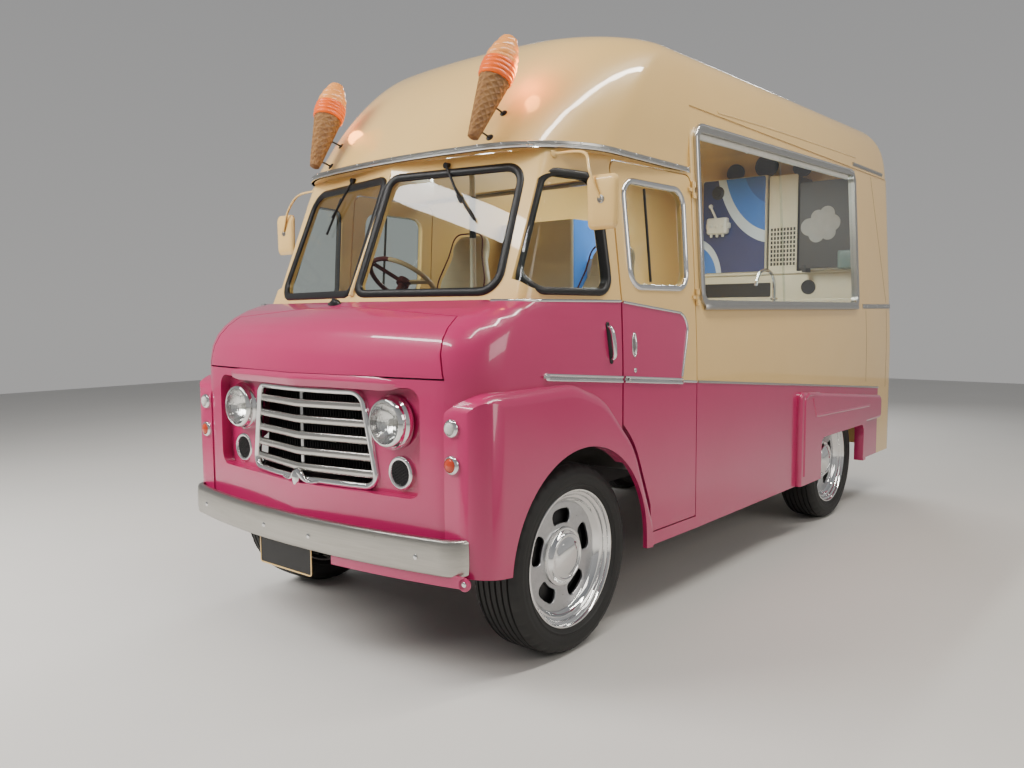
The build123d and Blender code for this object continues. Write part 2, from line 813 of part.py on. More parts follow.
def knuckle():
    """The left knuckle: two ears on the kingpin, and the spindle."""
    y = KINGPIN_Y
    low = TYRE_R - EYE_HALF - EAR_GAP
    high = TYRE_R + EYE_HALF + EAR_GAP
    fork = rod_z(0, y, EYE_R, high, high + EAR_THICK)
    fork += rod_z(0, y, EYE_R, low - EAR_THICK, low)
    fork += block(-EYE_R, EYE_R, y, y + 62, high, high + EAR_THICK)
    fork += block(-EYE_R, EYE_R, y, y + 62, low - EAR_THICK, low)
    fork += block(-EYE_R, EYE_R, y + 40, y + 62, low - EAR_THICK, high + EAR_THICK)
    fork -= rod_z(0, y, KINGPIN_R + BEARING_GAP, 200, 700)
    fork += rod_y(0, TYRE_R, SPINDLE_R, y + 50, SPINDLE_END_Y)
    return fork


def wheel_profile(points, x, z):
    """A ring turned about the wheel's axis from (radius, y) points."""
    face = polygon([(0, y, r) for r, y in points])
    return Pos(x, 0, z) * revolve(face, Axis.Y)


def tyre(x):
    """The left tyre: a wide road tyre with rounded shoulders."""
    half = TYRE_WIDTH / 2
    bead_half = RIM_WIDTH / 2 - 14
    shoulder = 34
    points = [
        (RIM_SEAT_R, -bead_half),
        (RIM_LIP_R + 4, -bead_half),
        (RIM_LIP_R + 50, -half),
        (TYRE_R - shoulder, -half + 4),
        (TYRE_R - 6, -half + shoulder),
        (TYRE_R, -half + 2.6 * shoulder),
        (TYRE_R, half - 2.6 * shoulder),
        (TYRE_R - 6, half - shoulder),
        (TYRE_R - shoulder, half - 4),
        (RIM_LIP_R + 50, half),
        (RIM_LIP_R + 4, bead_half),
        (RIM_SEAT_R, bead_half),
    ]
    return wheel_profile([(r, y + WHEEL_Y) for r, y in points], x, TYRE_R)


SLOT_COUNT = 5
SLOT_PITCH_R = 178
DISC_Y = WHEEL_Y + 46


def rim(x):
    """The left rim: barrel with lips, slotted disc, hub and centre cap."""
    half = RIM_WIDTH / 2
    seat = RIM_SEAT_R - SEAT_GAP
    bead_half = half - 14
    barrel = [
        (RIM_LIP_R, -half),
        (RIM_LIP_R, -bead_half - SEAT_GAP),
        (seat, -bead_half - SEAT_GAP),
        (seat, bead_half + SEAT_GAP),
        (RIM_LIP_R, bead_half + SEAT_GAP),
        (RIM_LIP_R, half),
        (seat - RIM_WALL, half),
        (seat - RIM_WALL - 18, half - 40),
        (seat - RIM_WALL - 18, -half + 40),
        (seat - RIM_WALL, -half),
    ]
    wheel = wheel_profile([(r, y + WHEEL_Y) for r, y in barrel], x, TYRE_R)
    disc = rod_y(x, TYRE_R, seat - RIM_WALL - 14, DISC_Y, DISC_Y + DISC_THICK)
    for number in range(SLOT_COUNT):
        angle = 90 + number * 360 / SLOT_COUNT
        slot = Rot(0, angle, 0) * Pos(SLOT_PITCH_R, 0, 0) * Rot(90, 0, 0)
        hole = slot * extrude(SlotOverall(150, 52, rotation=90), 400, both=True)
        disc -= Pos(x, DISC_Y, TYRE_R) * hole
    wheel += disc
    wheel += rod_y(x, TYRE_R, HUB_R, WHEEL_Y - 50, DISC_Y + 34)
    cap = Pos(x, DISC_Y + 34, TYRE_R) * Rot(-90, 0, 0) * Cone(HUB_R - 12, HUB_R - 40, 24)
    wheel += Pos(0, 12, 0) * cap
    wheel -= rod_y(x, TYRE_R, SPINDLE_R + BEARING_GAP, WHEEL_Y - 80, SPINDLE_END_Y + 3)
    return wheel


def rear_axle():
    """The live axle: tube, differential and a spindle at each end."""
    x = -WHEELBASE
    axle = rod_y(x, TYRE_R, 46, -WHEEL_Y + 90, WHEEL_Y - 90)
    axle += Pos(x, 0, TYRE_R) * Sphere(155)
    axle += rod_y(x, TYRE_R, SPINDLE_R, -SPINDLE_END_Y, SPINDLE_END_Y)
    return axle


def leaf_springs():
    """Four leaf packs between the axles and the rails."""
    packs = []
    rail_low = FLOOR_Z - FLOOR_THICK - RAIL_HEIGHT
    seats = ((0, BEAM_HIGH_Z, 480), (-WHEELBASE, TYRE_R + 46, 560))
    for x, seat_z, reach in seats:
        for side in (1, -1):
            y0 = side * SPRING_Y - SPRING_WIDTH / 2
            low = seat_z + SEAT_GAP
            outline = [
                (x - reach, rail_low - 42),
                (x - 60, low),
                (x + 60, low),
                (x + reach, rail_low - 42),
                (x + reach, rail_low - SEAT_GAP),
                (x + reach - 40, rail_low - SEAT_GAP),
                (x + reach - 44, rail_low - 26),
                (x + 60, low + 44),
                (x - 60, low + 44),
                (x - reach + 44, rail_low - 26),
                (x - reach + 40, rail_low - SEAT_GAP),
                (x - reach, rail_low - SEAT_GAP),
            ]
            packs.append(side_shape(outline, y0, y0 + SPRING_WIDTH))
    return packs


ENGINE = (-230, 440, 240, 445, 1075)
ENGINE_FEET = (-120, 330)
ENGINE_FOOT_HALF = 40
ENGINE_FOOT_THICK = 36


def engine_block():
    """The engine at its real size and place, its feet standing on the rails."""
    x0, x1, half, z0, z1 = ENGINE
    engine = block(x0, x1, -half, half, z0, z1)
    reach = RAIL_Y + RAIL_WIDTH / 2
    low = FLOOR_Z - FLOOR_THICK + SEAT_GAP
    for x in ENGINE_FEET:
        high = low + ENGINE_FOOT_THICK
        engine += block(x - ENGINE_FOOT_HALF, x + ENGINE_FOOT_HALF, -reach, reach, low, high)
    return engine


# Floors
COVER_WALL = 18
COVER_GAP = 18
RISER_X = -870
TOE_X = 400


def box_floor():
    """The floor of the box and the step behind the front wheels."""
    half = LOWER_PLANS[0][6] - BODY_WALL - SEAT_GAP
    low = FLOOR_Z - FLOOR_THICK
    slab = block(BODY_REAR_X + BODY_WALL + SEAT_GAP, RISER_X, -half, half, low, FLOOR_Z)
    corner = REAR_CORNER_R - BODY_WALL
    slab = fillet(slab.edges().filter_by(Axis.Z).group_by(Axis.X)[0], corner)
    for side in (1, -1):
        y0, y1 = sorted((side * WHEEL_BOX_Y, side * 1200))
        slab -= block(WHEEL_BOX_REAR_X, WHEEL_BOX_FRONT_X, y0, y1, 0, 1500)
        y0, y1 = sorted((side * DOOR_STEP_Y, side * 1200))
        slab -= block(DOOR_REAR_X, 0, y0, y1, 0, 1500)
    return slab


DOOR_STEP_Y = 938
WHEEL_BOX_Y = 672
WHEEL_BOX_FRONT_X = -(WHEELBASE - 470)
WHEEL_BOX_REAR_X = -(WHEELBASE + 470)
WHEEL_BOX_TOP_Z = 905
WHEEL_BOX_WALL = 12


def wheel_box():
    """The left box over the rear wheel, inside the body."""
    half = LOWER_PLANS[0][6] - BODY_WALL - SEAT_GAP
    g = SEAT_GAP
    t = WHEEL_BOX_WALL
    low = FLOOR_Z - FLOOR_THICK
    x0 = WHEEL_BOX_REAR_X + g
    x1 = WHEEL_BOX_FRONT_X - g
    y0 = WHEEL_BOX_Y + g
    box = block(x0, x1, y0, half, low, WHEEL_BOX_TOP_Z)
    return box - block(x0 + t, x1 - t, y0 + t, 1200, 0, WHEEL_BOX_TOP_Z - t)


def toe_board(grow=0.0):
    """The sloping board from the cab floor up to the cowl, and what is ahead of it."""
    outline = [
        (TOE_X - 20 - grow, CAB_FLOOR_Z),
        (TOE_X + 20 - grow, WAIST_Z),
        (TOE_X + 400, WAIST_Z),
        (TOE_X + 400, CAB_FLOOR_Z),
    ]
    return side_shape(outline, -1000, 1000)


def cab_floor():
    """The raised cab floor over the front wheels, its riser and toe board, with the hump hole."""
    half = LOWER_PLANS[0][5] - BODY_WALL - SEAT_GAP - 12
    t = FLOOR_THICK
    outline = [
        (RISER_X + SEAT_GAP, FLOOR_Z - t),
        (RISER_X + SEAT_GAP, CAB_FLOOR_Z),
        (TOE_X - 20, CAB_FLOOR_Z),
        (TOE_X + 20, WAIST_Z - SCUTTLE_SKIN - SEAT_GAP),
        (TOE_X + 20 + t, WAIST_Z - SCUTTLE_SKIN - SEAT_GAP),
        (TOE_X - 20 + t, CAB_FLOOR_Z - t),
        (RISER_X + SEAT_GAP + t, CAB_FLOOR_Z - t),
        (RISER_X + SEAT_GAP + t, FLOOR_Z - t),
    ]
    plate = side_shape(outline, -half, half)
    trim = envelope(LOWER_PLANS, BODY_WALL + SEAT_GAP)
    plate = plate & trim
    x0, x1, y, z0, z1 = ENGINE
    g = COVER_GAP + COVER_WALL
    plate -= block(x0 - g, 1000, -y - g, y + g, 600, z1 + g)
    return plate


def engine_cover():
    """The hump over the engine, in the cab."""
    x0, x1, y, z0, z1 = ENGINE
    g = COVER_GAP
    t = COVER_WALL
    e = SEAT_GAP
    half = y + g + t - e
    cover = block(x0 - g - t + e, TOE_X - 22, -half, half, CAB_FLOOR_Z - FLOOR_THICK, z1 + g + t)
    return cover - block(x0 - g, 1000, -y - g, y + g, 0, z1 + g)


# Seats, dash and steering
SEAT_X = -830
SEAT_WIDTH = 460
SEAT_DEPTH = 470
CUSHION_THICK = 140
BACK_HIGH = 510
BACK_THICK = 118
HEAD_HIGH = 180
HEAD_WIDTH = 260
HEAD_POST_R = 7
# Columns: seat's middle y, height of its base's top. The driver sits higher, on the right.
SEATS = ((520, 1030), (-520, 1150))


def one_seat(y, base_z):
    """A seat's base box, cushion, and back with its head rest."""
    half = SEAT_WIDTH / 2
    base = block(SEAT_X + 30, SEAT_X + 440, y - half + 40, y + half - 40, CAB_FLOOR_Z, base_z)
    low = base_z + SEAT_GAP
    cushion = block(SEAT_X, SEAT_X + SEAT_DEPTH, y - half, y + half, low, low + CUSHION_THICK)
    cushion = fillet(cushion.edges().filter_by(Axis.Y), 45)
    foot = low + CUSHION_THICK + SEAT_GAP
    high = foot + BACK_HIGH
    outline = [
        (SEAT_X + BACK_THICK - 8, foot),
        (SEAT_X - 20, foot),
        (SEAT_X - 150, high),
        (SEAT_X - 40, high),
    ]
    back = side_shape(outline, y - half + 10, y + half - 10, {0: 30, 1: 40, 2: 50, 3: 50})
    head_z = high + 30
    outline = [
        (SEAT_X - 45, head_z),
        (SEAT_X - 150, head_z),
        (SEAT_X - 172, head_z + HEAD_HIGH),
        (SEAT_X - 75, head_z + HEAD_HIGH),
    ]
    reach = HEAD_WIDTH / 2
    back += side_shape(outline, y - reach, y + reach, {0: 30, 1: 30, 2: 40, 3: 40})
    for off in (-60, 60):
        foot_point = (SEAT_X - 96, y + off, high - 1)
        back += rod_between(foot_point, (SEAT_X - 103, y + off, head_z + 1), HEAD_POST_R)
    return base, cushion, back


DASH_X = 330
DASH_LOW_Z = 1300
DASH_HIGH_Z = 1500
DASH_HALF = 800
STEERING_HUB = (-360, -500, 1672)
STEERING_R = 205
STEERING_RIM_R = 13
STEERING_TILT = 38
STEERING_SPOKES = 3
COLUMN_R = 20


def steering_place():
    """The steering wheel's hub, with its axis along the column."""
    return Pos(*STEERING_HUB) * Rot(0, -STEERING_TILT, 0)


def column():
    """The steering column, down to the cab floor."""
    room = block(-2000, 2000, -1200, 0, CAB_FLOOR_Z + SEAT_GAP, 3000)
    whole = STEERING_HUB[2]
    return steering_place() * Pos(0, 0, -whole / 2) * Cylinder(COLUMN_R, whole) & room


def dash():
    """The dash panel under the windscreen."""
    outline = [
        (TOE_X + 40, DASH_HIGH_Z),
        (DASH_X - 110, DASH_HIGH_Z),
        (DASH_X - 150, DASH_HIGH_Z - 70),
        (DASH_X - 60, DASH_LOW_Z),
        (TOE_X + 40, DASH_LOW_Z),
    ]
    panel = side_shape(outline, -DASH_HALF, DASH_HALF, {1: 30, 2: 30})
    panel = panel & envelope(LOWER_PLANS, BODY_WALL + SEAT_GAP)
    return panel - toe_board(SEAT_GAP)


def steering_wheel():
    """Column, rim, spokes and boss, on the vehicle's right."""
    wheel = Torus(STEERING_R, STEERING_RIM_R)
    wheel += Cylinder(38, 34)
    for number in range(STEERING_SPOKES):
        angle = 90 + number * 360 / STEERING_SPOKES
        wheel += Rot(0, 0, angle) * block(20, STEERING_R - 4, -13, 13, -6, 6)
    return steering_place() * wheel + column()


# Service equipment in the box
FIT_GAP = 6
COUNTER_FRONT_X = -1900
COUNTER_REAR_X = BODY_REAR_X + 860
COUNTER_TOP_Z = 1500
COUNTER_DEPTH = 520
COUNTER_THICK = 30
BOARD_THICK = 20
SINK_X = (-3150, -2750)
SINK_EDGE = 90
SINK_DEEP = 160
SINK_WALL = 12


def counter():
    """The left-hand counter under the hatch: top with its sink, front panel and two ends."""
    wall_y = LOWER_PLANS[-1][6] - BODY_WALL - FIT_GAP
    y0 = wall_y - COUNTER_DEPTH
    y1 = wall_y - 2 * FIT_GAP
    x0 = COUNTER_REAR_X
    x1 = COUNTER_FRONT_X
    low = COUNTER_TOP_Z - COUNTER_THICK
    front_y = y0 + BOARD_THICK
    whole = block(x0, x1, y0, y1, low, COUNTER_TOP_Z)
    whole += block(x0, x1, front_y, front_y + BOARD_THICK, FLOOR_Z, low)
    whole += block(x0, x0 + BOARD_THICK, front_y, y1, WHEEL_BOX_TOP_Z + 2 * FIT_GAP, low)
    whole += block(x1 - BOARD_THICK, x1, front_y, y1, FLOOR_Z, low)
    s0, s1 = SINK_X
    w = SINK_WALL
    e = SINK_EDGE
    deep = COUNTER_TOP_Z - SINK_DEEP
    whole += block(s0 - w, s1 + w, y0 + e - w, y1 - e + w, deep - w, COUNTER_TOP_Z)
    return whole - block(s0, s1, y0 + e, y1 - e, deep, COUNTER_TOP_Z + 1)


MACHINE_X = (-2350, -1700)
MACHINE_DEPTH = 628
MACHINE_TOP_Z = 2120
MACHINE_EDGE_R = 25
NOZZLE_R = 30


def machine():
    """The soft-serve machine against the right wall: cabinet, head, drip tray and nozzle."""
    wall_y = BODY_WALL + FIT_GAP - box_wall_y(MACHINE_TOP_Z)
    x0, x1 = MACHINE_X
    front_y = wall_y + MACHINE_DEPTH
    mid = (x0 + x1) / 2
    cabinet = block(x0, x1, wall_y, front_y, FLOOR_Z, MACHINE_TOP_Z)
    cabinet = fillet(cabinet.edges().filter_by(Axis.Z), MACHINE_EDGE_R)
    head = block(mid - 155, mid + 155, front_y, front_y + 120, 1640, 1860)
    head = fillet(head.edges().filter_by(Axis.X), MACHINE_EDGE_R)
    tray = block(mid - 205, mid + 205, front_y, front_y + 200, 1300, 1330)
    nozzle = rod_z(mid, front_y + 75, NOZZLE_R, 1560, 1640)
    return cabinet + head + tray + nozzle


CABINET_DEPTH = 530
CABINET_TOP_Z = 1500


def cabinets():
    """The cupboards along the right wall behind the machine, bridging the wheel box."""
    wall_y = BODY_WALL + FIT_GAP - LOWER_PLANS[-1][6] + 30
    front_y = wall_y + CABINET_DEPTH
    x0 = BODY_REAR_X + 310
    x1 = MACHINE_X[0] - 10
    low = WHEEL_BOX_TOP_Z + 15
    whole = block(x0, x1, wall_y, front_y, low, CABINET_TOP_Z)
    plinth_y = front_y - 60
    whole += block(x0, WHEEL_BOX_REAR_X - 20, wall_y, plinth_y, FLOOR_Z, low)
    whole += block(WHEEL_BOX_FRONT_X + 15, x1, wall_y, plinth_y, FLOOR_Z, low)
    return whole


# Outside fittings
BUMPER_X = FRONT_OVERHANG
BUMPER_LOW_Z = 498
BUMPER_HIGH_Z = 640
BUMPER_HALF = 945
BUMPER_EDGE_R = 12
BUMPER_BOW = 112
BUMPER_DEEP = 36
BRACKET_Y = 400
BRACKET_HALF = 20
BRACKET_LOW_Z = 545
BRACKET_HIGH_Z = 600


def bracket(side, x0, x1, grow=0.0):
    """One bumper bracket, or the hole for it."""
    y0 = side * BRACKET_Y - BRACKET_HALF - grow
    y1 = side * BRACKET_Y + BRACKET_HALF + grow
    return block(x0, x1, y0, y1, BRACKET_LOW_Z - grow, BRACKET_HIGH_Z + grow)


def front_bumper():
    """The bowed front bumper with wrapped ends, and its two brackets."""
    end_x = BUMPER_X - BUMPER_BOW
    outer = ThreePointArc((end_x, -BUMPER_HALF), (BUMPER_X, 0), (end_x, BUMPER_HALF))
    back_x = end_x - BUMPER_DEEP
    back = (BUMPER_X - BUMPER_DEEP, 0)
    inner = ThreePointArc((back_x, -BUMPER_HALF), back, (back_x, BUMPER_HALF))
    side_a = Line(outer @ 1, inner @ 1)
    side_b = Line(inner @ 0, outer @ 0)
    face = make_face([outer, side_a, inner, side_b])
    bar = Pos(0, 0, BUMPER_LOW_Z) * extrude(face, BUMPER_HIGH_Z - BUMPER_LOW_Z)
    rim = bar.edges().filter_by(GeomType.CIRCLE).filter_by_position(Axis.Z, 0, 2000)
    rim = [e for e in rim if e.length > BUMPER_HALF and e.center().X > BUMPER_X - 80]
    bar = fillet(rim, BUMPER_EDGE_R)
    face_x = BUMPER_X - BUMPER_BOW * (BRACKET_Y / BUMPER_HALF) ** 2
    for side in (1, -1):
        bar += bracket(side, RAIL_FRONT_X + SEAT_GAP, face_x - BUMPER_DEEP / 2)
    return bar


REAR_BUMPER_OFF = 8
REAR_BUMPER_THICK = 32
REAR_BUMPER_HALF = 900
REAR_BUMPER_LOW_Z = 420
REAR_BUMPER_HIGH_Z = 540


def rear_bumper():
    """The plain rear bumper."""
    x0 = BODY_REAR_X - REAR_BUMPER_OFF - REAR_BUMPER_THICK
    x1 = BODY_REAR_X - REAR_BUMPER_OFF
    bar = block(x0, x1, -REAR_BUMPER_HALF, REAR_BUMPER_HALF, REAR_BUMPER_LOW_Z, REAR_BUMPER_HIGH_Z)
    for side in (1, -1):
        bar += bracket(side, x0 + 10, RAIL_REAR_X - SEAT_GAP)
        y = side * BRACKET_Y
        low = REAR_BUMPER_HIGH_Z - 60
        bar += block(x0 + 10, x1, y - BRACKET_HALF, y + BRACKET_HALF, low, BRACKET_HIGH_Z)
    return bar


GRILLE_BARS = 5


def grille():
    """The chrome surround with its heavy bars and centre post."""
    x_front = fascia_face_x(0) + 40
    ring = front_shape(grille_outline(14), 600, 900, {0: 50, 1: 50, 2: 66, 3: 66})
    ring -= front_shape(grille_outline(-10), 500, 950, {0: 30, 1: 30, 2: 46, 3: 46})
    near = envelope(LOWER_PLANS[:NOSE_ROWS], FASCIA_DEPTH - 20) - envelope(LOWER_PLANS[:NOSE_ROWS], FASCIA_DEPTH)
    ring = ring & near
    bars = []
    pitch = (GRILLE_HEAD_Z - GRILLE_FOOT_Z) / (GRILLE_BARS + 0.6)
    hole = front_shape(grille_outline(-SEAT_GAP), 500, 950, {0: 40, 1: 40, 2: 55, 3: 55})
    band = envelope(LOWER_PLANS[:NOSE_ROWS], FASCIA_DEPTH - 16) - envelope(LOWER_PLANS[:NOSE_ROWS], FASCIA_DEPTH + 26)
    for number in range(GRILLE_BARS):
        z = GRILLE_FOOT_Z + (number + 0.75) * pitch
        bars.append(band & hole & block(500, 950, -500, 500, z - 17, z + 17))
    post = band & hole & block(500, 950, -11, 11, 0, 2000)
    whole = ring + post
    for bar in bars:
        whole += bar
    return whole


LENS_R = 84
LENS_RISE = 24
LAMP_PROUD = 60
BEZEL_LIP = 14
BOWL_DEPTH = 70


def front_lamp(y, z):
    """One headlamp: a stepped bezel with a domed lens, and its bowl behind the fascia."""
    x = fascia_face_x(y) + SEAT_GAP
    face = x + LAMP_PROUD
    outline = [
        (face + LENS_RISE, 0),
        (x - BOWL_DEPTH, 0),
        (x - BOWL_DEPTH, HEADLAMP_BODY_R - 30),
        (x - 10, HEADLAMP_BODY_R),
        (x, HEADLAMP_BODY_R),
        (x, HEADLAMP_R),
        (x + 26, HEADLAMP_R),
        (face - BEZEL_LIP, LENS_R + BEZEL_LIP),
        (face, LENS_R + 4),
        (face, LENS_R),
        (face + 0.56 * LENS_RISE, 0.7 * LENS_R),
        (face + 0.88 * LENS_RISE, 0.36 * LENS_R),
    ]
    turned = revolve(polygon([(px, pr, 0) for px, pr in outline]), Axis.X)
    return Pos(0, y, z) * turned


def headlamps():
    """Both headlamps."""
    y, z = HEADLAMP
    return [front_lamp(side * y, z) for side in (1, -1)]


def horn_grilles():
    """The round mesh grilles under the headlamps."""
    y, z = HORN
    found = []
    for side in (1, -1):
        x = fascia_face_x(y)
        ring = rod_x(side * y, z, HORN_R, x + SEAT_GAP, x + 12)
        ring += rod_x(side * y, z, HORN_MESH_R, x - 20, x + 4)
        found.append(ring)
    return found


SIDE_LAMPS = ((1061, 34), (920, 36))
SIDE_LAMP_Y = 858


def side_lamps():
    """Two small round lamps on each front fender, clear above amber."""
    found = []
    for side in (1, -1):
        for z, radius in SIDE_LAMPS:
            x = FENDER_FRONT_X
            found.append(rod_x(side * SIDE_LAMP_Y, z, radius, x + SEAT_GAP, x + 24))
    return found


def tail_lamps():
    """Round lamps on the rear corners."""
    found = []
    for side in (1, -1):
        for z, radius in ((1080, 48), (960, 48)):
            x = BODY_REAR_X
            found.append(rod_x(side * 700, z, radius, x - 28, x - SEAT_GAP))
    return found


MIRROR_Y = 1090
MIRROR_SIZE = (35, 160, 220)
MIRROR_LOW_Z = 1840
MIRROR_EDGE_R = 22
MIRROR_ARM_R = 9
MIRROR_ELBOW = (52, MIRROR_Y, 2130)


def mirror_left():
    """The left mirror, hung on its bent arm from the drip rail."""
    deep, wide, high = MIRROR_SIZE
    head = block(-5, deep - 5, MIRROR_Y - wide / 2, MIRROR_Y + wide / 2, MIRROR_LOW_Z, MIRROR_LOW_Z + high)
    head = fillet(head.edges().filter_by(Axis.X), MIRROR_EDGE_R)
    hold = (30, 840, RAIL_Z + DRIP_HEIGHT / 2)
    arm = rod_between(hold, MIRROR_ELBOW, MIRROR_ARM_R)
    arm -= roof_envelope(-DRIP_PROUD - SEAT_GAP)
    arm += rod_between(MIRROR_ELBOW, (38, MIRROR_Y, MIRROR_LOW_Z + high / 2), MIRROR_ARM_R)
    arm += Pos(*MIRROR_ELBOW) * Sphere(MIRROR_ARM_R)
    return head + arm


CONE_FOOT = (203, 550, RAIL_Z + 40)
CONE_HEAD = (0, 600, 2710)
# The lamp's outline from foot to head. Columns: share of its length, radius.
CONE_OUTLINE = (
    (0.0, 18),
    (0.02, 24),
    (0.56, 72),
    (0.58, 79),
    (0.74, 77),
    (0.76, 68),
    (0.93, 44),
    (0.98, 33),
    (1.0, 16),
)
CONE_STAY_R = 7
CONE_STAYS = (0.06, 0.32)


def cone_lamp():
    """The left cone-shaped lamp on the dome's front corner: wafer cone under a swirled light."""
    axis = Line(CONE_FOOT, CONE_HEAD)
    points = [(0, 0, 0)]
    points += [(radius, 0, share * axis.length) for share, radius in CONE_OUTLINE]
    points.append((0, 0, axis.length))
    lamp = revolve(polygon(points), Axis.Z)
    lamp = Plane(origin=CONE_FOOT, z_dir=axis % 0).location * lamp
    for share in CONE_STAYS:
        hold = axis @ share
        stay = rod_x(hold.Y, hold.Z, CONE_STAY_R, hold.X - 400, hold.X)
        lamp += stay - roof_envelope(-SEAT_GAP)
    return lamp


def screen_x(y, z):
    """The windscreen's outer face, at one place in front view."""
    low, high = UPPER_PLANS[0], UPPER_PLANS[1]
    rake = (low[1] - high[1]) / (high[0] - low[0])
    sweep = (low[1] - low[2]) / low[3]
    return low[1] - rake * (z - low[0]) - sweep * abs(y)


WIPER_R = 6
WIPER_PIVOT_Z = 2168
# Columns: pivot y, arm end y and z, blade's two ends y and z
WIPERS = (
    (-345, (-440, 1985), (-425, 2085), (-455, 1900)),
    (320, (455, 1985), (380, 2075), (540, 1905)),
)


def wipers():
    """Two wipers hung from above the panes."""
    found = []
    for pivot_y, arm_end, blade_top, blade_foot in WIPERS:
        near = WIPER_R + 3
        proud = near + 2 * WIPER_R - 3
        points = []
        for (y, z), off in ((arm_end, proud), (blade_top, near), (blade_foot, near)):
            points.append((screen_x(y, z) + off, y, z))
        pivot = (screen_x(pivot_y, WIPER_PIVOT_Z) + proud, pivot_y, WIPER_PIVOT_Z)
        boss = rod_x(pivot_y, WIPER_PIVOT_Z, 14, pivot[0] - 2 * proud, pivot[0] + 8)
        boss -= envelope(UPPER_PLANS, -SEAT_GAP)
        arm = rod_between(pivot, points[0], WIPER_R)
        found.append(boss + arm + rod_between(points[1], points[2], WIPER_R))
    return found


DRIP_PROUD = 12
DRIP_HEIGHT = 26


def drip_rail():
    """The chrome rail round the foot of the dome, from door to door."""
    shell = roof_envelope(-DRIP_PROUD) - roof_envelope(-SEAT_GAP)
    zone = block(DOOR_REAR_X + 5, 2000, -1500, 1500, RAIL_Z, RAIL_Z + DRIP_HEIGHT)
    return shell & zone


def build():
    """Write every node."""
    save("chassis_frame", chassis())
    save("engine_block", engine_block())
    save("front_axle", front_axle())
    save("rear_axle", rear_axle())
    save("leaf_springs", *leaf_springs())
    box = wheel_box()
    save("box_floor", box_floor(), box, other_side(box))
    save("cab_floor", cab_floor())
    save("engine_cover", engine_cover())

    left_knuckle = knuckle()
    save("knuckle_left", left_knuckle)
    save("knuckle_right", other_side(left_knuckle))
    for place, x in (("front", 0), ("rear", -WHEELBASE)):
        rubber = tyre(x)
        metal = rim(x)
        save(f"tyre_{place}_left", rubber)
        save(f"rim_{place}_left", metal)
        save(f"tyre_{place}_right", other_side(rubber))
        save(f"rim_{place}_right", other_side(metal))

    save("nose_panel", nose_panel())
    save("bonnet", bonnet())
    save("cowl", cowl())
    save("cab_upper", cab_upper())
    save("fixed_glass", *cab_glass(), *hatch_glass())
    side = cab_side()
    save("cab_sides", side, other_side(side))
    fender = front_fender()
    save("front_fenders", fender, other_side(fender))
    leaf = door()
    pane = door_glass()
    save("door_left", leaf)
    save("door_right", other_side(leaf))
    save("door_glass_left", pane)
    save("door_glass_right", other_side(pane))
    trims = solids_of(door_header())
    save("door_surround", *trims, *[other_side(t) for t in trims])
    save("body_side_left", hatch_side())
    save("body_side_right", other_side(body_side()))
    save("roof", roof())
    save("rear_panel", rear_panel())
    save("rear_door", rear_door())
    save("rear_door_glass", rear_glass())
    save("hatch_frame", hatch_frame())
    wing = rear_fender()
    save("rear_fenders", wing, other_side(wing))
    bases, cushions, backs = zip(*[one_seat(y, base_z) for y, base_z in SEATS])
    save("seat_bases", *bases)
    save("seat_cushions", *cushions)
    save("seat_backs", *backs)
    save("dash", dash())
    save("steering_wheel", steering_wheel())
    save("counter", counter())
    save("machine", machine())
    save("cabinets", cabinets())
    save("front_bumper", front_bumper())
    save("rear_bumper", rear_bumper())
    save("grille", grille())
    save("headlamps", *headlamps())
    save("horn_grilles", *horn_grilles())
    save("marker_lamps", *side_lamps(), *tail_lamps())
    glass = mirror_left()
    save("mirrors", glass, other_side(glass))
    lamp = cone_lamp()
    save("cone_lamps", lamp, other_side(lamp))
    save("wipers", *wipers())
    save("drip_rail", drip_rail())


build()
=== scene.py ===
"""The ice cream truck's looks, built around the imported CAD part."""

import bpy
import bmesh
import math
from mathutils import Matrix, Vector
from mathutils.bvhtree import BVHTree


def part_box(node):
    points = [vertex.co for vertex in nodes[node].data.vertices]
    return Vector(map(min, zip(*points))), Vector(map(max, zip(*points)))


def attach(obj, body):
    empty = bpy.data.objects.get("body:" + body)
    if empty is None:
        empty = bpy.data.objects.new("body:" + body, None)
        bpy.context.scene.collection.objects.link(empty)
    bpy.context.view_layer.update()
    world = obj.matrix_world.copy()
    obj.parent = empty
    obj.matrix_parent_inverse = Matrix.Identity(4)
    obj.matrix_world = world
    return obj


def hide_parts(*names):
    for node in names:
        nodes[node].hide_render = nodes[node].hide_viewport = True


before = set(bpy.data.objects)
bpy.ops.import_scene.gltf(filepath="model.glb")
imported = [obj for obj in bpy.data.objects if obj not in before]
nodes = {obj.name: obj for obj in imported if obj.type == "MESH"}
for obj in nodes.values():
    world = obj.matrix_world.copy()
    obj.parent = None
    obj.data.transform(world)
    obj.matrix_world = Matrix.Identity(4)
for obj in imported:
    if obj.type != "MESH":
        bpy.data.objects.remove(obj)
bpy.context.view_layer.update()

# An x measured from the front axle becomes the frame's X by adding SHIFT.
SHIFT = 1.885
FRONT_AXLE_X = 1.885
REAR_AXLE_X = -1.315
AXLE_Z = 0.42
WHEEL_Y = 0.831
SIDES = ((1, "left"), (-1, "right"))


def srgb(code):
    """A colour from its six hexadecimal digits, as Blender's linear RGBA."""
    values = []
    for i in (0, 2, 4):
        c = int(code[i : i + 2], 16) / 255
        values.append(c / 12.92 if c <= 0.04045 else ((c + 0.055) / 1.055) ** 2.4)
    return (*values, 1.0)


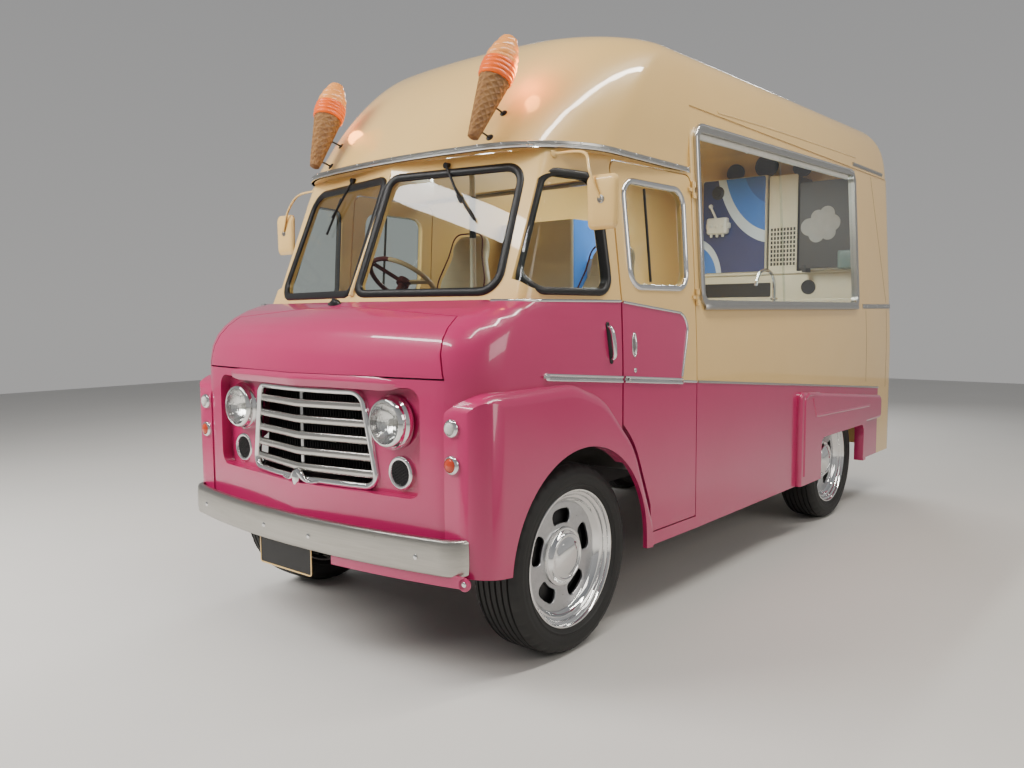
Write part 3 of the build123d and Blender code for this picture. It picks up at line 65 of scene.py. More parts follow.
# Materials
class Nodes:
    """A material's node tree with short calls for the few kinds of node used here."""

    def __init__(self, name):
        self.mat = bpy.data.materials.new(name)
        self.mat.use_nodes = True
        self.tree = self.mat.node_tree
        self.tree.nodes.clear()
        self.out = self.tree.nodes.new("ShaderNodeOutputMaterial")
        self.bsdf = self.tree.nodes.new("ShaderNodeBsdfPrincipled")
        self.link(self.bsdf.outputs[0], self.out.inputs["Surface"])
        self.coord = self.tree.nodes.new("ShaderNodeTexCoord").outputs["Object"]
        self.split = None

    def link(self, a, b):
        self.tree.links.new(a, b)

    def set(self, **values):
        for key, value in values.items():
            socket = "IOR" if key == "ior" else key.replace("_", " ").title()
            self.bsdf.inputs[socket].default_value = value

    def math(self, op, a, b=0.0, c=0.0):
        n = self.tree.nodes.new("ShaderNodeMath")
        n.operation = op
        for i, v in enumerate((a, b, c)):
            if isinstance(v, (int, float)):
                n.inputs[i].default_value = v
            else:
                self.link(v, n.inputs[i])
        return n.outputs[0]

    def xyz(self):
        if self.split is None:
            n = self.tree.nodes.new("ShaderNodeSeparateXYZ")
            self.link(self.coord, n.inputs[0])
            self.split = n.outputs
        return self.split

    def noise(self, scale, detail=3.0, rough=0.55, stretch=None):
        n = self.tree.nodes.new("ShaderNodeTexNoise")
        n.inputs["Scale"].default_value = scale
        n.inputs["Detail"].default_value = detail
        n.inputs["Roughness"].default_value = rough
        self.link(self.mapped(stretch), n.inputs["Vector"])
        return n.outputs["Fac"]

    def mapped(self, stretch):
        if stretch is None:
            return self.coord
        m = self.tree.nodes.new("ShaderNodeMapping")
        m.inputs["Scale"].default_value = stretch
        self.link(self.coord, m.inputs["Vector"])
        return m.outputs[0]

    def mix(self, fac, a, b):
        n = self.tree.nodes.new("ShaderNodeMix")
        n.data_type = "RGBA"
        for socket, v in ((n.inputs[0], fac), (n.inputs[6], a), (n.inputs[7], b)):
            if isinstance(v, (int, float, tuple)):
                socket.default_value = v
            else:
                self.link(v, socket)
        return n.outputs[2]

    def colour(self, value):
        if isinstance(value, tuple):
            self.bsdf.inputs["Base Color"].default_value = value
        else:
            self.link(value, self.bsdf.inputs["Base Color"])

    def bump(self, height, distance, strength=1.0):
        n = self.tree.nodes.new("ShaderNodeBump")
        n.inputs["Distance"].default_value = distance
        n.inputs["Strength"].default_value = strength
        self.link(height, n.inputs["Height"])
        self.link(n.outputs[0], self.bsdf.inputs["Normal"])

    def rough(self, value):
        if isinstance(value, (int, float)):
            self.bsdf.inputs["Roughness"].default_value = value
        else:
            self.link(value, self.bsdf.inputs["Roughness"])

    def spread(self, fac, low, high):
        """fac from 0..1 to low..high."""
        n = self.tree.nodes.new("ShaderNodeMapRange")
        n.inputs["To Min"].default_value = low
        n.inputs["To Max"].default_value = high
        self.link(fac, n.inputs["Value"])
        return n.outputs[0]


PINK = (srgb("AE1F58"), srgb("B62860"))
CREAM = (srgb("DFB76E"), srgb("E5C07A"))


def paint_finish(n):
    """A coach paint's depth: clear coat over the colour, a trace of ripple."""
    n.set(coat_weight=1.0, coat_roughness=0.03, ior=1.5)
    n.rough(n.spread(n.noise(3.0), 0.26, 0.34))
    n.bump(n.noise(38.0, 2.0), 0.00022, 0.5)


def paint(name, tones):
    n = Nodes(name)
    n.colour(n.mix(n.noise(2.2), *tones))
    paint_finish(n)
    return n.mat


# The line between pink and cream on the sides: height LINE_Z at LINE_X, rising forward.
LINE_X = 1.036
LINE_Z = 1.148
LINE_SLOPE = 0.0805
TAIL_X = -2.19
# The door's patch: its top edge falls rearward of PATCH_BEND_X, its rear edge leans with height.
PATCH_R = 0.085
PATCH_BEND_X = 1.605
PATCH_TOP_Z = 1.548
PATCH_TOP_SLOPE = 0.098
PATCH_REAR_X = 1.030
PATCH_REAR_SLOPE = 0.262
PATCH_LIMIT_X = 0.9


def line_z(x):
    return LINE_Z + LINE_SLOPE * (x - LINE_X)


def patch_top(x):
    """The door patch's top edge at x."""
    return PATCH_TOP_Z - max(0.0, PATCH_BEND_X - x) * PATCH_TOP_SLOPE


def patch_rear(z):
    """The door patch's rear edge at height z."""
    return PATCH_REAR_X - (z - LINE_Z) * PATCH_REAR_SLOPE


def two_tone():
    """Pink below the side's line and on the door's patch, cream elsewhere."""
    n = Nodes("paint_two_tone")
    x, _, z = n.xyz()
    line = n.math("MULTIPLY_ADD", x, LINE_SLOPE, LINE_Z - LINE_SLOPE * LINE_X)
    below = n.math("LESS_THAN", z, line)
    below = n.math("MULTIPLY", below, n.math("GREATER_THAN", x, TAIL_X))
    drop = n.math("MAXIMUM", n.math("SUBTRACT", PATCH_BEND_X, x), 0.0)
    top = n.math("MULTIPLY_ADD", drop, -PATCH_TOP_SLOPE, PATCH_TOP_Z)
    rear = n.math("MULTIPLY_ADD", n.math("SUBTRACT", z, LINE_Z), -PATCH_REAR_SLOPE, PATCH_REAR_X)
    u = n.math("MAXIMUM", n.math("SUBTRACT", n.math("ADD", rear, PATCH_R), x), 0.0)
    v = n.math("MAXIMUM", n.math("SUBTRACT", z, n.math("SUBTRACT", top, PATCH_R)), 0.0)
    reach = n.math("SQRT", n.math("ADD", n.math("MULTIPLY", u, u), n.math("MULTIPLY", v, v)))
    patch = n.math("LESS_THAN", reach, PATCH_R)
    patch = n.math("MULTIPLY", patch, n.math("GREATER_THAN", x, PATCH_LIMIT_X))
    mask = n.math("MAXIMUM", below, patch)
    tone = n.noise(2.2)
    n.colour(n.mix(mask, n.mix(tone, *CREAM), n.mix(tone, *PINK)))
    paint_finish(n)
    return n.mat


def metal(name, light, dark, rough_low, rough_high, scale=30.0, stretch=None, bump=0.0):
    n = Nodes(name)
    tone = n.noise(scale, 3.0, 0.6, stretch)
    n.colour(n.mix(tone, srgb(dark), srgb(light)))
    n.set(metallic=1.0)
    n.rough(n.spread(n.noise(scale * 1.7, 3.0, 0.6, stretch), rough_low, rough_high))
    if bump:
        n.bump(tone, bump, 0.4)
    return n.mat


def rubber(name, light, dark, rough=(0.42, 0.6), scale=60.0):
    n = Nodes(name)
    tone = n.noise(scale)
    n.colour(n.mix(tone, srgb(dark), srgb(light)))
    n.rough(n.spread(tone, *rough))
    n.bump(n.noise(scale * 6), 0.0003, 0.35)
    return n.mat


def clear_glass(name, tint):
    """A thin pane: lets light through, mirrors more at a slant."""
    n = Nodes(name)
    n.tree.nodes.remove(n.bsdf)
    clear = n.tree.nodes.new("ShaderNodeBsdfTransparent")
    clear.inputs["Color"].default_value = tint
    gloss = n.tree.nodes.new("ShaderNodeBsdfGlossy")
    gloss.inputs["Roughness"].default_value = 0.02
    gloss.inputs["Color"].default_value = (1, 1, 1, 1)
    facing = n.tree.nodes.new("ShaderNodeFresnel")
    facing.inputs["IOR"].default_value = 1.45
    geometry = n.tree.nodes.new("ShaderNodeNewGeometry")
    front = n.math("SUBTRACT", 1.0, geometry.outputs["Backfacing"])
    mixer = n.tree.nodes.new("ShaderNodeMixShader")
    n.link(n.math("MULTIPLY", facing.outputs[0], front), mixer.inputs[0])
    n.link(clear.outputs[0], mixer.inputs[1])
    n.link(gloss.outputs[0], mixer.inputs[2])
    n.link(mixer.outputs[0], n.out.inputs["Surface"])
    return n.mat


def plastic(name, light, dark, rough=(0.35, 0.5), scale=40.0, bump=0.0002):
    n = Nodes(name)
    tone = n.noise(scale)
    n.colour(n.mix(tone, srgb(dark), srgb(light)))
    n.rough(n.spread(tone, *rough))
    n.bump(n.noise(scale * 5), bump, 0.3)
    return n.mat


def leather(name, light, dark):
    """Pebbled leather: cells for the grain, a slow change of tone."""
    n = Nodes(name)
    cells = n.tree.nodes.new("ShaderNodeTexVoronoi")
    cells.inputs["Scale"].default_value = 260
    n.link(n.coord, cells.inputs["Vector"])
    n.colour(n.mix(n.noise(9.0), srgb(dark), srgb(light)))
    n.rough(n.spread(n.noise(22.0), 0.38, 0.52))
    n.bump(cells.outputs["Distance"], 0.0006, 0.45)
    return n.mat


M = {
    "pink": paint("paint_pink", PINK),
    "cream": paint("paint_cream", CREAM),
    "two_tone": two_tone(),
    "chrome": metal("chrome", "F4F4F2", "E2E3E4", 0.04, 0.10, 14.0),
    "satin": metal("satin_aluminium", "C9C8C4", "B3B2AE", 0.26, 0.38, 50.0, (0.3, 1, 4), 0.0001),
    "alloy": metal("alloy_satin", "C7C8CA", "AFB1B4", 0.24, 0.34, 45.0),
    "bumper": metal("bumper_aluminium", "C4C1BA", "A9A69F", 0.24, 0.36, 26.0, (1, 0.15, 5), 0.0002),
    "black": plastic("chassis_black", "26272A", "17181A", (0.4, 0.6), 18.0, 0.0006),
    "cast": metal("cast_metal", "77756F", "55534E", 0.45, 0.6, 60.0, None, 0.0008),
    "rubber": rubber("seal_rubber", "1B1B1C", "0F0F10", (0.3, 0.42)),
    "tyre": rubber("tyre_rubber", "242423", "161616", (0.55, 0.72), 45.0),
    "glass": clear_glass("clear_glass", (0.90, 0.93, 0.92, 1)),
    "panel": plastic("inner_panel", "E4DCC4", "D8CFB4", (0.3, 0.42), 6.0, 0.0002),
    "steel": metal("counter_steel", "C2C3C4", "A6A8AA", 0.2, 0.34, 35.0, (0.2, 1, 1), 0.0001),
    "plastic": plastic("black_plastic", "1D1D1F", "121213", (0.3, 0.45)),
    "mesh": plastic("dark_mesh", "121213", "070708", (0.5, 0.6)),
}


def chequer_floor():
    """The box floor's raised plate pattern."""
    n = Nodes("floor_plate")
    n.set(metallic=1.0)
    n.colour(n.mix(n.noise(12.0), srgb("8C8B88"), srgb("A9A8A5")))
    n.rough(n.spread(n.noise(30.0), 0.3, 0.45))
    w = n.tree.nodes.new("ShaderNodeTexVoronoi")
    w.inputs["Scale"].default_value = 45
    n.link(n.mapped((1, 0.45, 1)), w.inputs["Vector"])
    n.bump(w.outputs["Distance"], 0.002, 0.5)
    return n.mat


MACHINE_FRONT_Y = -0.2865
MACHINE_PARTS_Y = -0.2825
MACHINE_BLUE_Z = 1.55


def machine_look():
    """The machine against the side wall: pale sides, a blue front, white dispensing parts."""
    n = Nodes("machine_sides")
    _, y, z = n.xyz()
    tone = n.noise(12.0)
    front = n.math("GREATER_THAN", y, MACHINE_FRONT_Y)
    parts = n.math("GREATER_THAN", y, MACHINE_PARTS_Y)
    sky = n.mix(tone, srgb("2C6CC0"), srgb("3C7FD0"))
    navy = n.mix(tone, srgb("14234C"), srgb("1C2F60"))
    blue = n.mix(n.math("LESS_THAN", z, MACHINE_BLUE_Z), sky, navy)
    pale = n.mix(tone, srgb("CFC6AC"), srgb("DAD2BA"))
    white = n.mix(tone, srgb("D4D1C6"), srgb("E6E4DC"))
    n.colour(n.mix(parts, n.mix(front, pale, blue), white))
    n.set(coat_weight=0.4, coat_roughness=0.1)
    n.rough(n.spread(tone, 0.3, 0.42))
    n.bump(n.noise(60.0), 0.0001, 0.2)
    return n.mat


def lamp_glow(name, colour, strength, rough=0.25):
    n = Nodes(name)
    tone = n.noise(25.0)
    shade = n.mix(tone, tuple(c * 0.85 for c in colour[:3]) + (1.0,), colour)
    n.colour(shade)
    n.link(shade, n.bsdf.inputs["Emission Color"])
    n.set(emission_strength=strength, coat_weight=0.5, coat_roughness=0.08)
    n.rough(rough)
    return n.mat


def wafer():
    """A wafer cone's waffle: crossed ridges over a toasted brown."""
    n = Nodes("wafer")
    x, y, z = n.xyz()
    rings = n.math("SINE", n.math("MULTIPLY", z, 210.0))
    ribs = n.math("SINE", n.math("MULTIPLY", n.math("ADD", x, y), 190.0))
    grid = n.math("MAXIMUM", rings, ribs)
    height = n.spread(grid, 0.0, 1.0)
    tone = n.noise(42.0, 5.0, 0.7)
    crust = n.mix(tone, srgb("54361B"), srgb("94683A"))
    n.colour(n.mix(n.math("MULTIPLY", height, 0.35), crust, srgb("A97F4C")))
    n.rough(n.spread(tone, 0.45, 0.7))
    n.bump(tone, 0.004, 0.6)
    return n.mat


M["floor_plate"] = chequer_floor()
M["machine"] = machine_look()
M["wafer"] = wafer()
M["cone_glow"] = lamp_glow("cone_band_glow", srgb("F26400"), 0.12)
M["cone_swirl"] = lamp_glow("cone_swirl_glow", srgb("EC9A4C"), 0.14)
M["amber"] = lamp_glow("amber_lens", srgb("B5391B"), 0.25, 0.15)
M["red"] = lamp_glow("red_lens", srgb("A3141A"), 0.2, 0.15)
M["clear_lens"] = plastic("clear_lens", "DAD9D4", "BEBDB8", (0.08, 0.15), 90.0, 0.001)
M["seat_cream"] = leather("seat_cream", "CDBF9E", "B5A683")
M["seat_maroon"] = leather("seat_maroon", "6B1B2C", "571322")
M["wheel_rim"] = leather("steering_leather", "7A3338", "5E2329")

M["bar_satin"] = metal("grille_bar_satin", "DAD8D2", "C4C2BC", 0.18, 0.30, 40.0, (1, 0.1, 4), 0.0001)
M["seam"] = rubber("seam_shadow", "4A3C28", "382D1E", (0.6, 0.8))
M["white_plastic"] = plastic("white_plastic", "E6E4DC", "D4D1C6", (0.25, 0.38), 30.0)
M["board"] = plastic("menu_board", "2F2B29", "242120", (0.45, 0.6), 12.0)
M["grey_card"] = plastic("grey_card", "9C9A97", "8B8986", (0.5, 0.62), 18.0)
M["teal"] = plastic("teal_tub", "5F7674", "536967", (0.3, 0.42), 20.0)
M["tube_light"] = lamp_glow("tube_light", srgb("EAFBF6"), 6.0)
M["core"] = plastic("grille_core", "141416", "0B0B0C", (0.35, 0.5))

SLOT_LOOKS = {
    "black_plastic": ("rubber", "core", "plastic", "seam", "board"),
    "bright_chrome": ("chrome",),
    "clear_glass": ("lens", "clear_lens", "tube_light"),
    "cream_paint": ("cream",),
    "lamp_cone": ("wafer", "cone_glow", "cone_swirl"),
    "road_tyre": ("tyre",),
    "polished_alloy": ("alloy",),
    "satin_steel": ("bar_satin", "satin"),
    "pink_paint": ("pink",),
    "bright_aluminium": ("bumper",),
    "seat_leather": ("seat_maroon",),
    "inner_panel": ("panel", "white_plastic", "grey_card", "teal"),
}
SLOT_OF = {look: slot for slot, looks in SLOT_LOOKS.items() for look in looks}

LOOK_NODES = {
    "black": (
        "chassis_frame", "front_axle", "rear_axle", "leaf_springs", "knuckle_left", "knuckle_right",
        "seat_bases",
    ),
    "cast": ("engine_block",),
    "floor_plate": ("box_floor", "cab_floor"),
    "plastic": ("engine_cover", "wipers"),
    "pink": ("nose_panel", "bonnet", "cowl", "cab_sides", "front_fenders", "rear_fenders"),
    "cream": ("cab_upper", "roof", "rear_panel", "rear_door", "mirrors"),
    "glass": ("fixed_glass", "door_glass_left", "door_glass_right", "rear_door_glass"),
    "two_tone": ("door_left", "door_right", "door_surround", "body_side_left", "body_side_right"),
    "satin": ("hatch_frame",),
    "seat_cream": ("seat_cushions", "seat_backs", "dash"),
    "wheel_rim": ("steering_wheel",),
    "steel": ("counter",),
    "machine": ("machine",),
    "panel": ("cabinets",),
    "bumper": ("front_bumper", "rear_bumper"),
    "chrome": ("grille", "headlamps", "marker_lamps", "drip_rail"),
    "mesh": ("horn_grilles",),
    "wafer": ("cone_lamps",),
}
NODE_LOOK = {node: look for look, members in LOOK_NODES.items() for node in members}
for place in ("front_left", "front_right", "rear_left", "rear_right"):
    NODE_LOOK["tyre_" + place] = "tyre"
    NODE_LOOK["rim_" + place] = "alloy"


def dress(node, mat):
    data = nodes[node].data
    data.materials.clear()
    data.materials.append(mat)


for node_name in nodes:
    dress(node_name, M[NODE_LOOK[node_name]])


# Mesh helpers
def add(name, verts, faces, mat, body="root", slot=None, smooth=True):
    """A mesh object in the shared frame that rides a body."""
    data = bpy.data.meshes.new(name)
    data.from_pydata([tuple(v) for v in verts], [], faces)
    data.validate()
    data.materials.append(mat)
    bm = bmesh.new()
    bm.from_mesh(data)
    bmesh.ops.recalc_face_normals(bm, faces=bm.faces)
    bm.to_mesh(data)
    bm.free()
    if smooth:
        data.polygons.foreach_set("use_smooth", [True] * len(data.polygons))
    obj = bpy.data.objects.new(name, data)
    bpy.context.scene.collection.objects.link(obj)
    if smooth:
        data.set_sharp_from_angle(angle=math.radians(42))
    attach(obj, body)
    return obj


def put(name, data, look, body="root", slot=None):
    """A mesh in one of the looks above."""
    return add(name, *data, M[look], body, slot or SLOT_OF[look])


def join_data(parts):
    """Several (verts, faces) lists as one."""
    verts, faces = [], []
    for vs, fs in parts:
        off = len(verts)
        verts += [Vector(v) for v in vs]
        faces += [tuple(i + off for i in f) for f in fs]
    return verts, faces


def both_sides(make):
    """What make(side) gives for the left and the right side, joined kind by kind."""
    return [join_data(kinds) for kinds in zip(make(1), make(-1))]


def grid(rows, cols, loop_rows=False, loop_cols=True):
    """The quads between rows of points."""
    faces = []
    for i in range(rows if loop_rows else rows - 1):
        m = (i + 1) % rows
        for j in range(cols if loop_cols else cols - 1):
            k = (j + 1) % cols
            faces.append((i * cols + j, i * cols + k, m * cols + k, m * cols + j))
    return faces


def sweep(path, outs, profile, closed=True):
    """A profile of (across, out) points carried along a path, out following the given normals."""
    n = len(path)
    k = len(profile)
    verts = []
    for i in range(n):
        a = path[(i - 1) % n] if closed or i > 0 else path[0]
        b = path[(i + 1) % n] if closed or i < n - 1 else path[-1]
        t = (b - a).normalized()
        o = outs[i] - t * outs[i].dot(t)
        o.normalize()
        s = t.cross(o)
        for u, v in profile:
            verts.append(path[i] + s * u + o * v)
    faces = grid(n, k, closed)
    if not closed:
        faces.append(tuple(range(k)))
        faces.append(tuple((n - 1) * k + j for j in range(k)))
    return verts, faces


def dome_profile(width, height, sink=0.002, steps=6):
    """A rounded bead's section: width across, height proud, sunk a little at its foot."""
    half = width / 2
    points = [(-half, -sink)]
    for i in range(steps + 1):
        a = math.pi * (1 - i / steps)
        points.append((half * math.cos(a), height * math.sin(a) ** 0.8 if 0 < i < steps else 0.0))
    points.append((half, -sink))
    return points


def rounded(points, radii, step=0.02):
    """A closed 2-D outline with its corners rounded, as dense points."""
    n = len(points)
    found = []
    for i in range(n):
        p0 = Vector(points[i - 1])
        p1 = Vector(points[i])
        p2 = Vector(points[(i + 1) % n])
        r = radii[i] if isinstance(radii, (list, tuple)) else radii
        a = (p0 - p1).normalized()
        b = (p2 - p1).normalized()
        half = math.acos(max(-1, min(1, a.dot(b)))) / 2
        cut = r / math.tan(half)
        centre = p1 + (a + b).normalized() * (r / math.sin(half))
        start = p1 + a * cut
        end = p1 + b * cut
        sweep_a = math.pi - 2 * half
        count = max(3, int(sweep_a * r / step) + 2)
        v0 = start - centre
        cross = v0.x * (end - centre).y - v0.y * (end - centre).x
        sign = 1 if cross > 0 else -1
        for j in range(count + 1):
            q = sign * sweep_a * j / count
            c, s = math.cos(q), math.sin(q)
            found.append(centre + Vector((v0.x * c - v0.y * s, v0.x * s + v0.y * c)))
    dense = []
    for i, p in enumerate(found):
        q = found[(i + 1) % len(found)]
        gap = (q - p).length
        if gap < 1e-6:
            continue
        count = max(1, int(gap / step))
        for j in range(count):
            dense.append(p.lerp(q, j / count))
    return dense


def open_line(points, step=0.03):
    """An open 2-D line as dense points."""
    dense = []
    for p, q in zip(points[:-1], points[1:]):
        p, q = Vector(p), Vector(q)
        count = max(1, int((q - p).length / step))
        dense += [p.lerp(q, j / count) for j in range(count)]
    dense.append(Vector(points[-1]))
    return dense


def tree_of(*names):
    verts, faces = [], []
    for name in names:
        data = nodes[name].data
        off = len(verts)
        verts += [v.co.copy() for v in data.vertices]
        faces += [tuple(i + off for i in p.vertices) for p in data.polygons]
    return BVHTree.FromPolygons(verts, faces)


def cast(tree, origin, direction):
    hit, normal, _, _ = tree.ray_cast(Vector(origin), Vector(direction))
    if hit is None:
        return None
    if normal.dot(Vector(direction)) > 0:
        normal = -normal
    return hit, normal


def on_side(tree, points, side=1):
    """(x, z) points as places and normals on the side of the truck."""
    path, outs = [], []
    for p in points:
        found = cast(tree, (p[0], side * 3, p[1]), (0, -side, 0))
        if found:
            path.append(found[0])
            outs.append(found[1])
    return path, outs


def on_front(tree, points):
    """(y, z) points as places and normals on the front of the truck."""
    path, outs = [], []
    for p in points:
        found = cast(tree, (6, p[0], p[1]), (-1, 0, 0))
        if found:
            path.append(found[0])
            outs.append(found[1])
    return path, outs


def soft(outs, rounds=6):
    """Normals eased along a path, so that a bead doesn't twist at a facet's edge."""
    n = len(outs)
    now = [o.copy() for o in outs]
    for _ in range(rounds):
        now = [
            (now[i - 1] + now[i] * 2 + now[(i + 1) % n]).normalized() if 0 < i < n - 1 else now[i]
            for i in range(n)
        ]
    return now


def lathe(profile, steps=48, close=True):
    """A profile of (radius, along) points turned about Z."""
    verts = []
    for i in range(steps):
        a = 2 * math.pi * i / steps
        for r, h in profile:
            verts.append(Vector((r * math.cos(a), r * math.sin(a), h)))
    return verts, grid(steps, len(profile), True, close)


def placed(data, origin, direction):
    """A lathe's mesh with its Z turned to a direction, at a place."""
    turn = Vector(direction).to_track_quat("Z", "Y").to_matrix().to_4x4()
    place = Matrix.Translation(Vector(origin)) @ turn
    verts, faces = data
    return [place @ Vector(v) for v in verts], faces


def stud(profile, place, direction, steps=28):
    """A turned form, open at its foot, that stands at a place."""
    return placed(lathe(profile, steps, False), place, direction)


# Window seals
tree_cab = tree_of("cab_upper")
PANE = ((0.024, 1.592), (0.740, 1.592), (0.712, 2.128), (0.024, 2.128))
PANE_R = (0.045, 0.075, 0.085, 0.045)


def grown(points, by):
    """An outline pushed out from its middle by about by."""
    cx = sum(p[0] for p in points) / len(points)
    cz = sum(p[1] for p in points) / len(points)
    return [(p[0] + math.copysign(by, p[0] - cx), p[1] + math.copysign(by, p[1] - cz)) for p in points]


seal_profile = dome_profile(0.040, 0.010, 0.006)


def screen_seals():
    parts = []
    for side in (1, -1):
        outline = rounded(grown(PANE, 0.006), [r + 0.006 for r in PANE_R])
        outline = [(side * p[0], p[1]) for p in outline]
        x_of = fixed_screen(side)
        path = [Vector((x_of(p), p[0], p[1])) for p in outline]
        parts.append(sweep(path, [screen_normal(side)] * len(path), seal_profile))
    return join_data(parts)


def fixed_screen(side):
    """The windscreen's outer plane on one side, from rays at the panel round the pane."""
    spots = [(side * 0.40, 1.572), (side * 0.78, 1.70), (side * 0.40, 2.16)]
    points = []
    for y, z in spots:
        hit = cast(tree_cab, (6, y, z), (-1, 0, 0))
        points.append(hit[0])
    a, b, c = points
    normal = (b - a).cross(c - a).normalized()
    if normal.x < 0:
        normal = -normal

    def x_of(p):
        return a.x - (normal.y * (p[0] - a.y) + normal.z * (p[1] - a.z)) / normal.x

    return x_of


def screen_normal(side):
    x_of = fixed_screen(side)
    base = Vector((x_of((0, 0)), 0, 0))
    dy = Vector((x_of((1, 0)), 1, 0)) - base
    dz = Vector((x_of((0, 1)), 0, 1)) - base
    normal = dy.cross(dz).normalized()
    return normal if normal.x > 0 else -normal


put("windscreen_seals", screen_seals(), "rubber")

QUARTER = ((0.272, 1.598), (0.058, 2.093), (-0.225, 2.090), (-0.243, 1.594))
DOOR_WINDOW = ((-0.425, 1.622), (-0.425, 2.098), (-0.925, 2.098), (-0.925, 1.622))
CAB_CORNER = (0.264, 1.55)
CAB_CORNER_LEAN = 0.388


def cab_corner_x(z):
    """The cab's front corner at a height."""
    return CAB_CORNER[0] - CAB_CORNER_LEAN * (z - CAB_CORNER[1]) + SHIFT


def side_ring(tree, outline, radii, grow, profile, side):
    """A bead round a window in the side, kept behind the cab's corner."""
    corners = [(min(x + SHIFT, cab_corner_x(z) - 0.022), z) for x, z in grown(outline, grow)]
    ring = rounded(corners, radii)
    hits = [cast(tree, (p.x, side * 3, p.y), (0, -side, 0)) for p in ring]
    good = [h is not None and h[0].y * side > 0.5 for h in hits]
    n = len(ring)
    levels = []
    for i in range(n):
        span = 0
        while not (good[(i - span) % n] or good[(i + span) % n]):
            span += 1
        levels.append(max(abs(hits[k % n][0].y) for k in (i - span, i + span) if good[k % n]))
    for _ in range(8):
        levels = [(levels[i - 1] + levels[i] * 2 + levels[(i + 1) % n]) / 4 for i in range(n)]
    path = [Vector((p.x, side * level, p.y)) for p, level in zip(ring, levels)]
    level_out = Vector((0, side, 0))
    outs = []
    for h, ok in zip(hits, good):
        outs.append((level_out * 0.8 + (h[1] if ok else level_out) * 0.2).normalized())
    return sweep(path, soft(outs, 8), profile)


def quarter_seals():
    deep_seal = [
        (-0.017, -0.030), (-0.017, 0.004), (-0.012, 0.011), (0.0, 0.014), (0.012, 0.011), (0.017, 0.004),
        (0.017, -0.030),
    ]
    radii = (0.058, 0.066, 0.066, 0.066)
    return join_data([side_ring(tree_cab, QUARTER, radii, 0.010, deep_seal, side) for side in (1, -1)])


put("quarter_window_seals", quarter_seals(), "rubber")

for side, tag in SIDES:
    tree_door = tree_of("door_" + tag)
    ring = side_ring(tree_door, DOOR_WINDOW, 0.083, 0.010, dome_profile(0.030, 0.012, 0.004), side)
    put("door_window_frame_" + tag, ring, "chrome", "door_" + tag)

# Trims on the sides
bead = dome_profile(0.014, 0.007, 0.003)
strip = [
    (-0.017, -0.003), (-0.0165, 0.004), (-0.0145, 0.0085), (-0.010, 0.0100), (-0.0055, 0.0085),
    (-0.003, 0.0045),
]
strip += [
    (0.003, 0.0045), (0.0055, 0.0085), (0.010, 0.0100), (0.0145, 0.0085), (0.0165, 0.004), (0.017, -0.003),
]


def side_bead(name, points, profile, mat, body, tree_names, side, slot="bright_chrome", closed=False):
    tree = tree_of(*tree_names)
    path, outs = on_side(tree, points, side)
    if len(path) < 3:
        return None
    return add(name, *sweep(path, soft(outs), profile, closed), mat, body, slot)


DOOR_FRONT = -0.332 + SHIFT
DOOR_REAR = -1.013 + SHIFT
FIXED_FRONT_REAR = -0.320 + SHIFT
for side, tag in SIDES:
    body = "door_" + tag
    # waist bead: level on the cab side, sloping on the door, then round the patch's rear corner
    fixed = open_line([(2.40, 1.546), (FIXED_FRONT_REAR + 0.002, 1.546)])
    side_bead("waist_bead_cab_" + tag, fixed, bead, M["chrome"], "root", ("cab_sides", "cab_upper"), side)
    outline = [(DOOR_FRONT - 0.002, patch_top(DOOR_FRONT))]
    x_end = patch_rear(patch_top(1.0)) + PATCH_R
    outline.append((x_end, patch_top(x_end)))
    centre = Vector((patch_rear(patch_top(x_end) - PATCH_R) + PATCH_R, patch_top(x_end) - PATCH_R))
    for i in range(1, 9):
        a = math.pi / 2 + math.pi / 2 * i / 8
        outline.append((centre.x + PATCH_R * math.cos(a), centre.y + PATCH_R * math.sin(a)))
    outline.append((patch_rear(1.17), 1.17))
    side_bead("patch_bead_" + tag, open_line(outline, 0.02), bead, M["chrome"], body, (body,), side)
    # the bright strip under it, on the cab side and on the door
    fixed = open_line(
        [(0.230 + SHIFT, line_z(2.115) - 0.002), (FIXED_FRONT_REAR + 0.003, line_z(FIXED_FRONT_REAR))]
    )
    side_bead("strip_cab_" + tag, fixed, strip, M["chrome"], "root", ("cab_sides",), side)
    moving = open_line([(DOOR_FRONT - 0.003, line_z(DOOR_FRONT)), (1.026, line_z(1.026))])
    side_bead("strip_door_" + tag, moving, strip, M["chrome"], body, (body,), side)
    # the bead along the colour line
    moving = open_line([(1.020, line_z(1.020)), (DOOR_REAR + 0.004, line_z(DOOR_REAR))])
    side_bead("line_bead_door_" + tag, moving, bead, M["chrome"], body, (body,), side)
    rear = open_line([(-1.026 + SHIFT, line_z(0.859)), (-2.19, line_z(-2.19))])
    side_bead(
        "line_bead_body_" + tag, rear, bead, M["satin"], "root", ("body_side_" + tag,), side, "satin_steel"
    )

# Lamps
HEADLAMP = (0.525, 1.059)
HEADLAMP_DEPTH = 0.084
HORN = (0.555, 0.853)


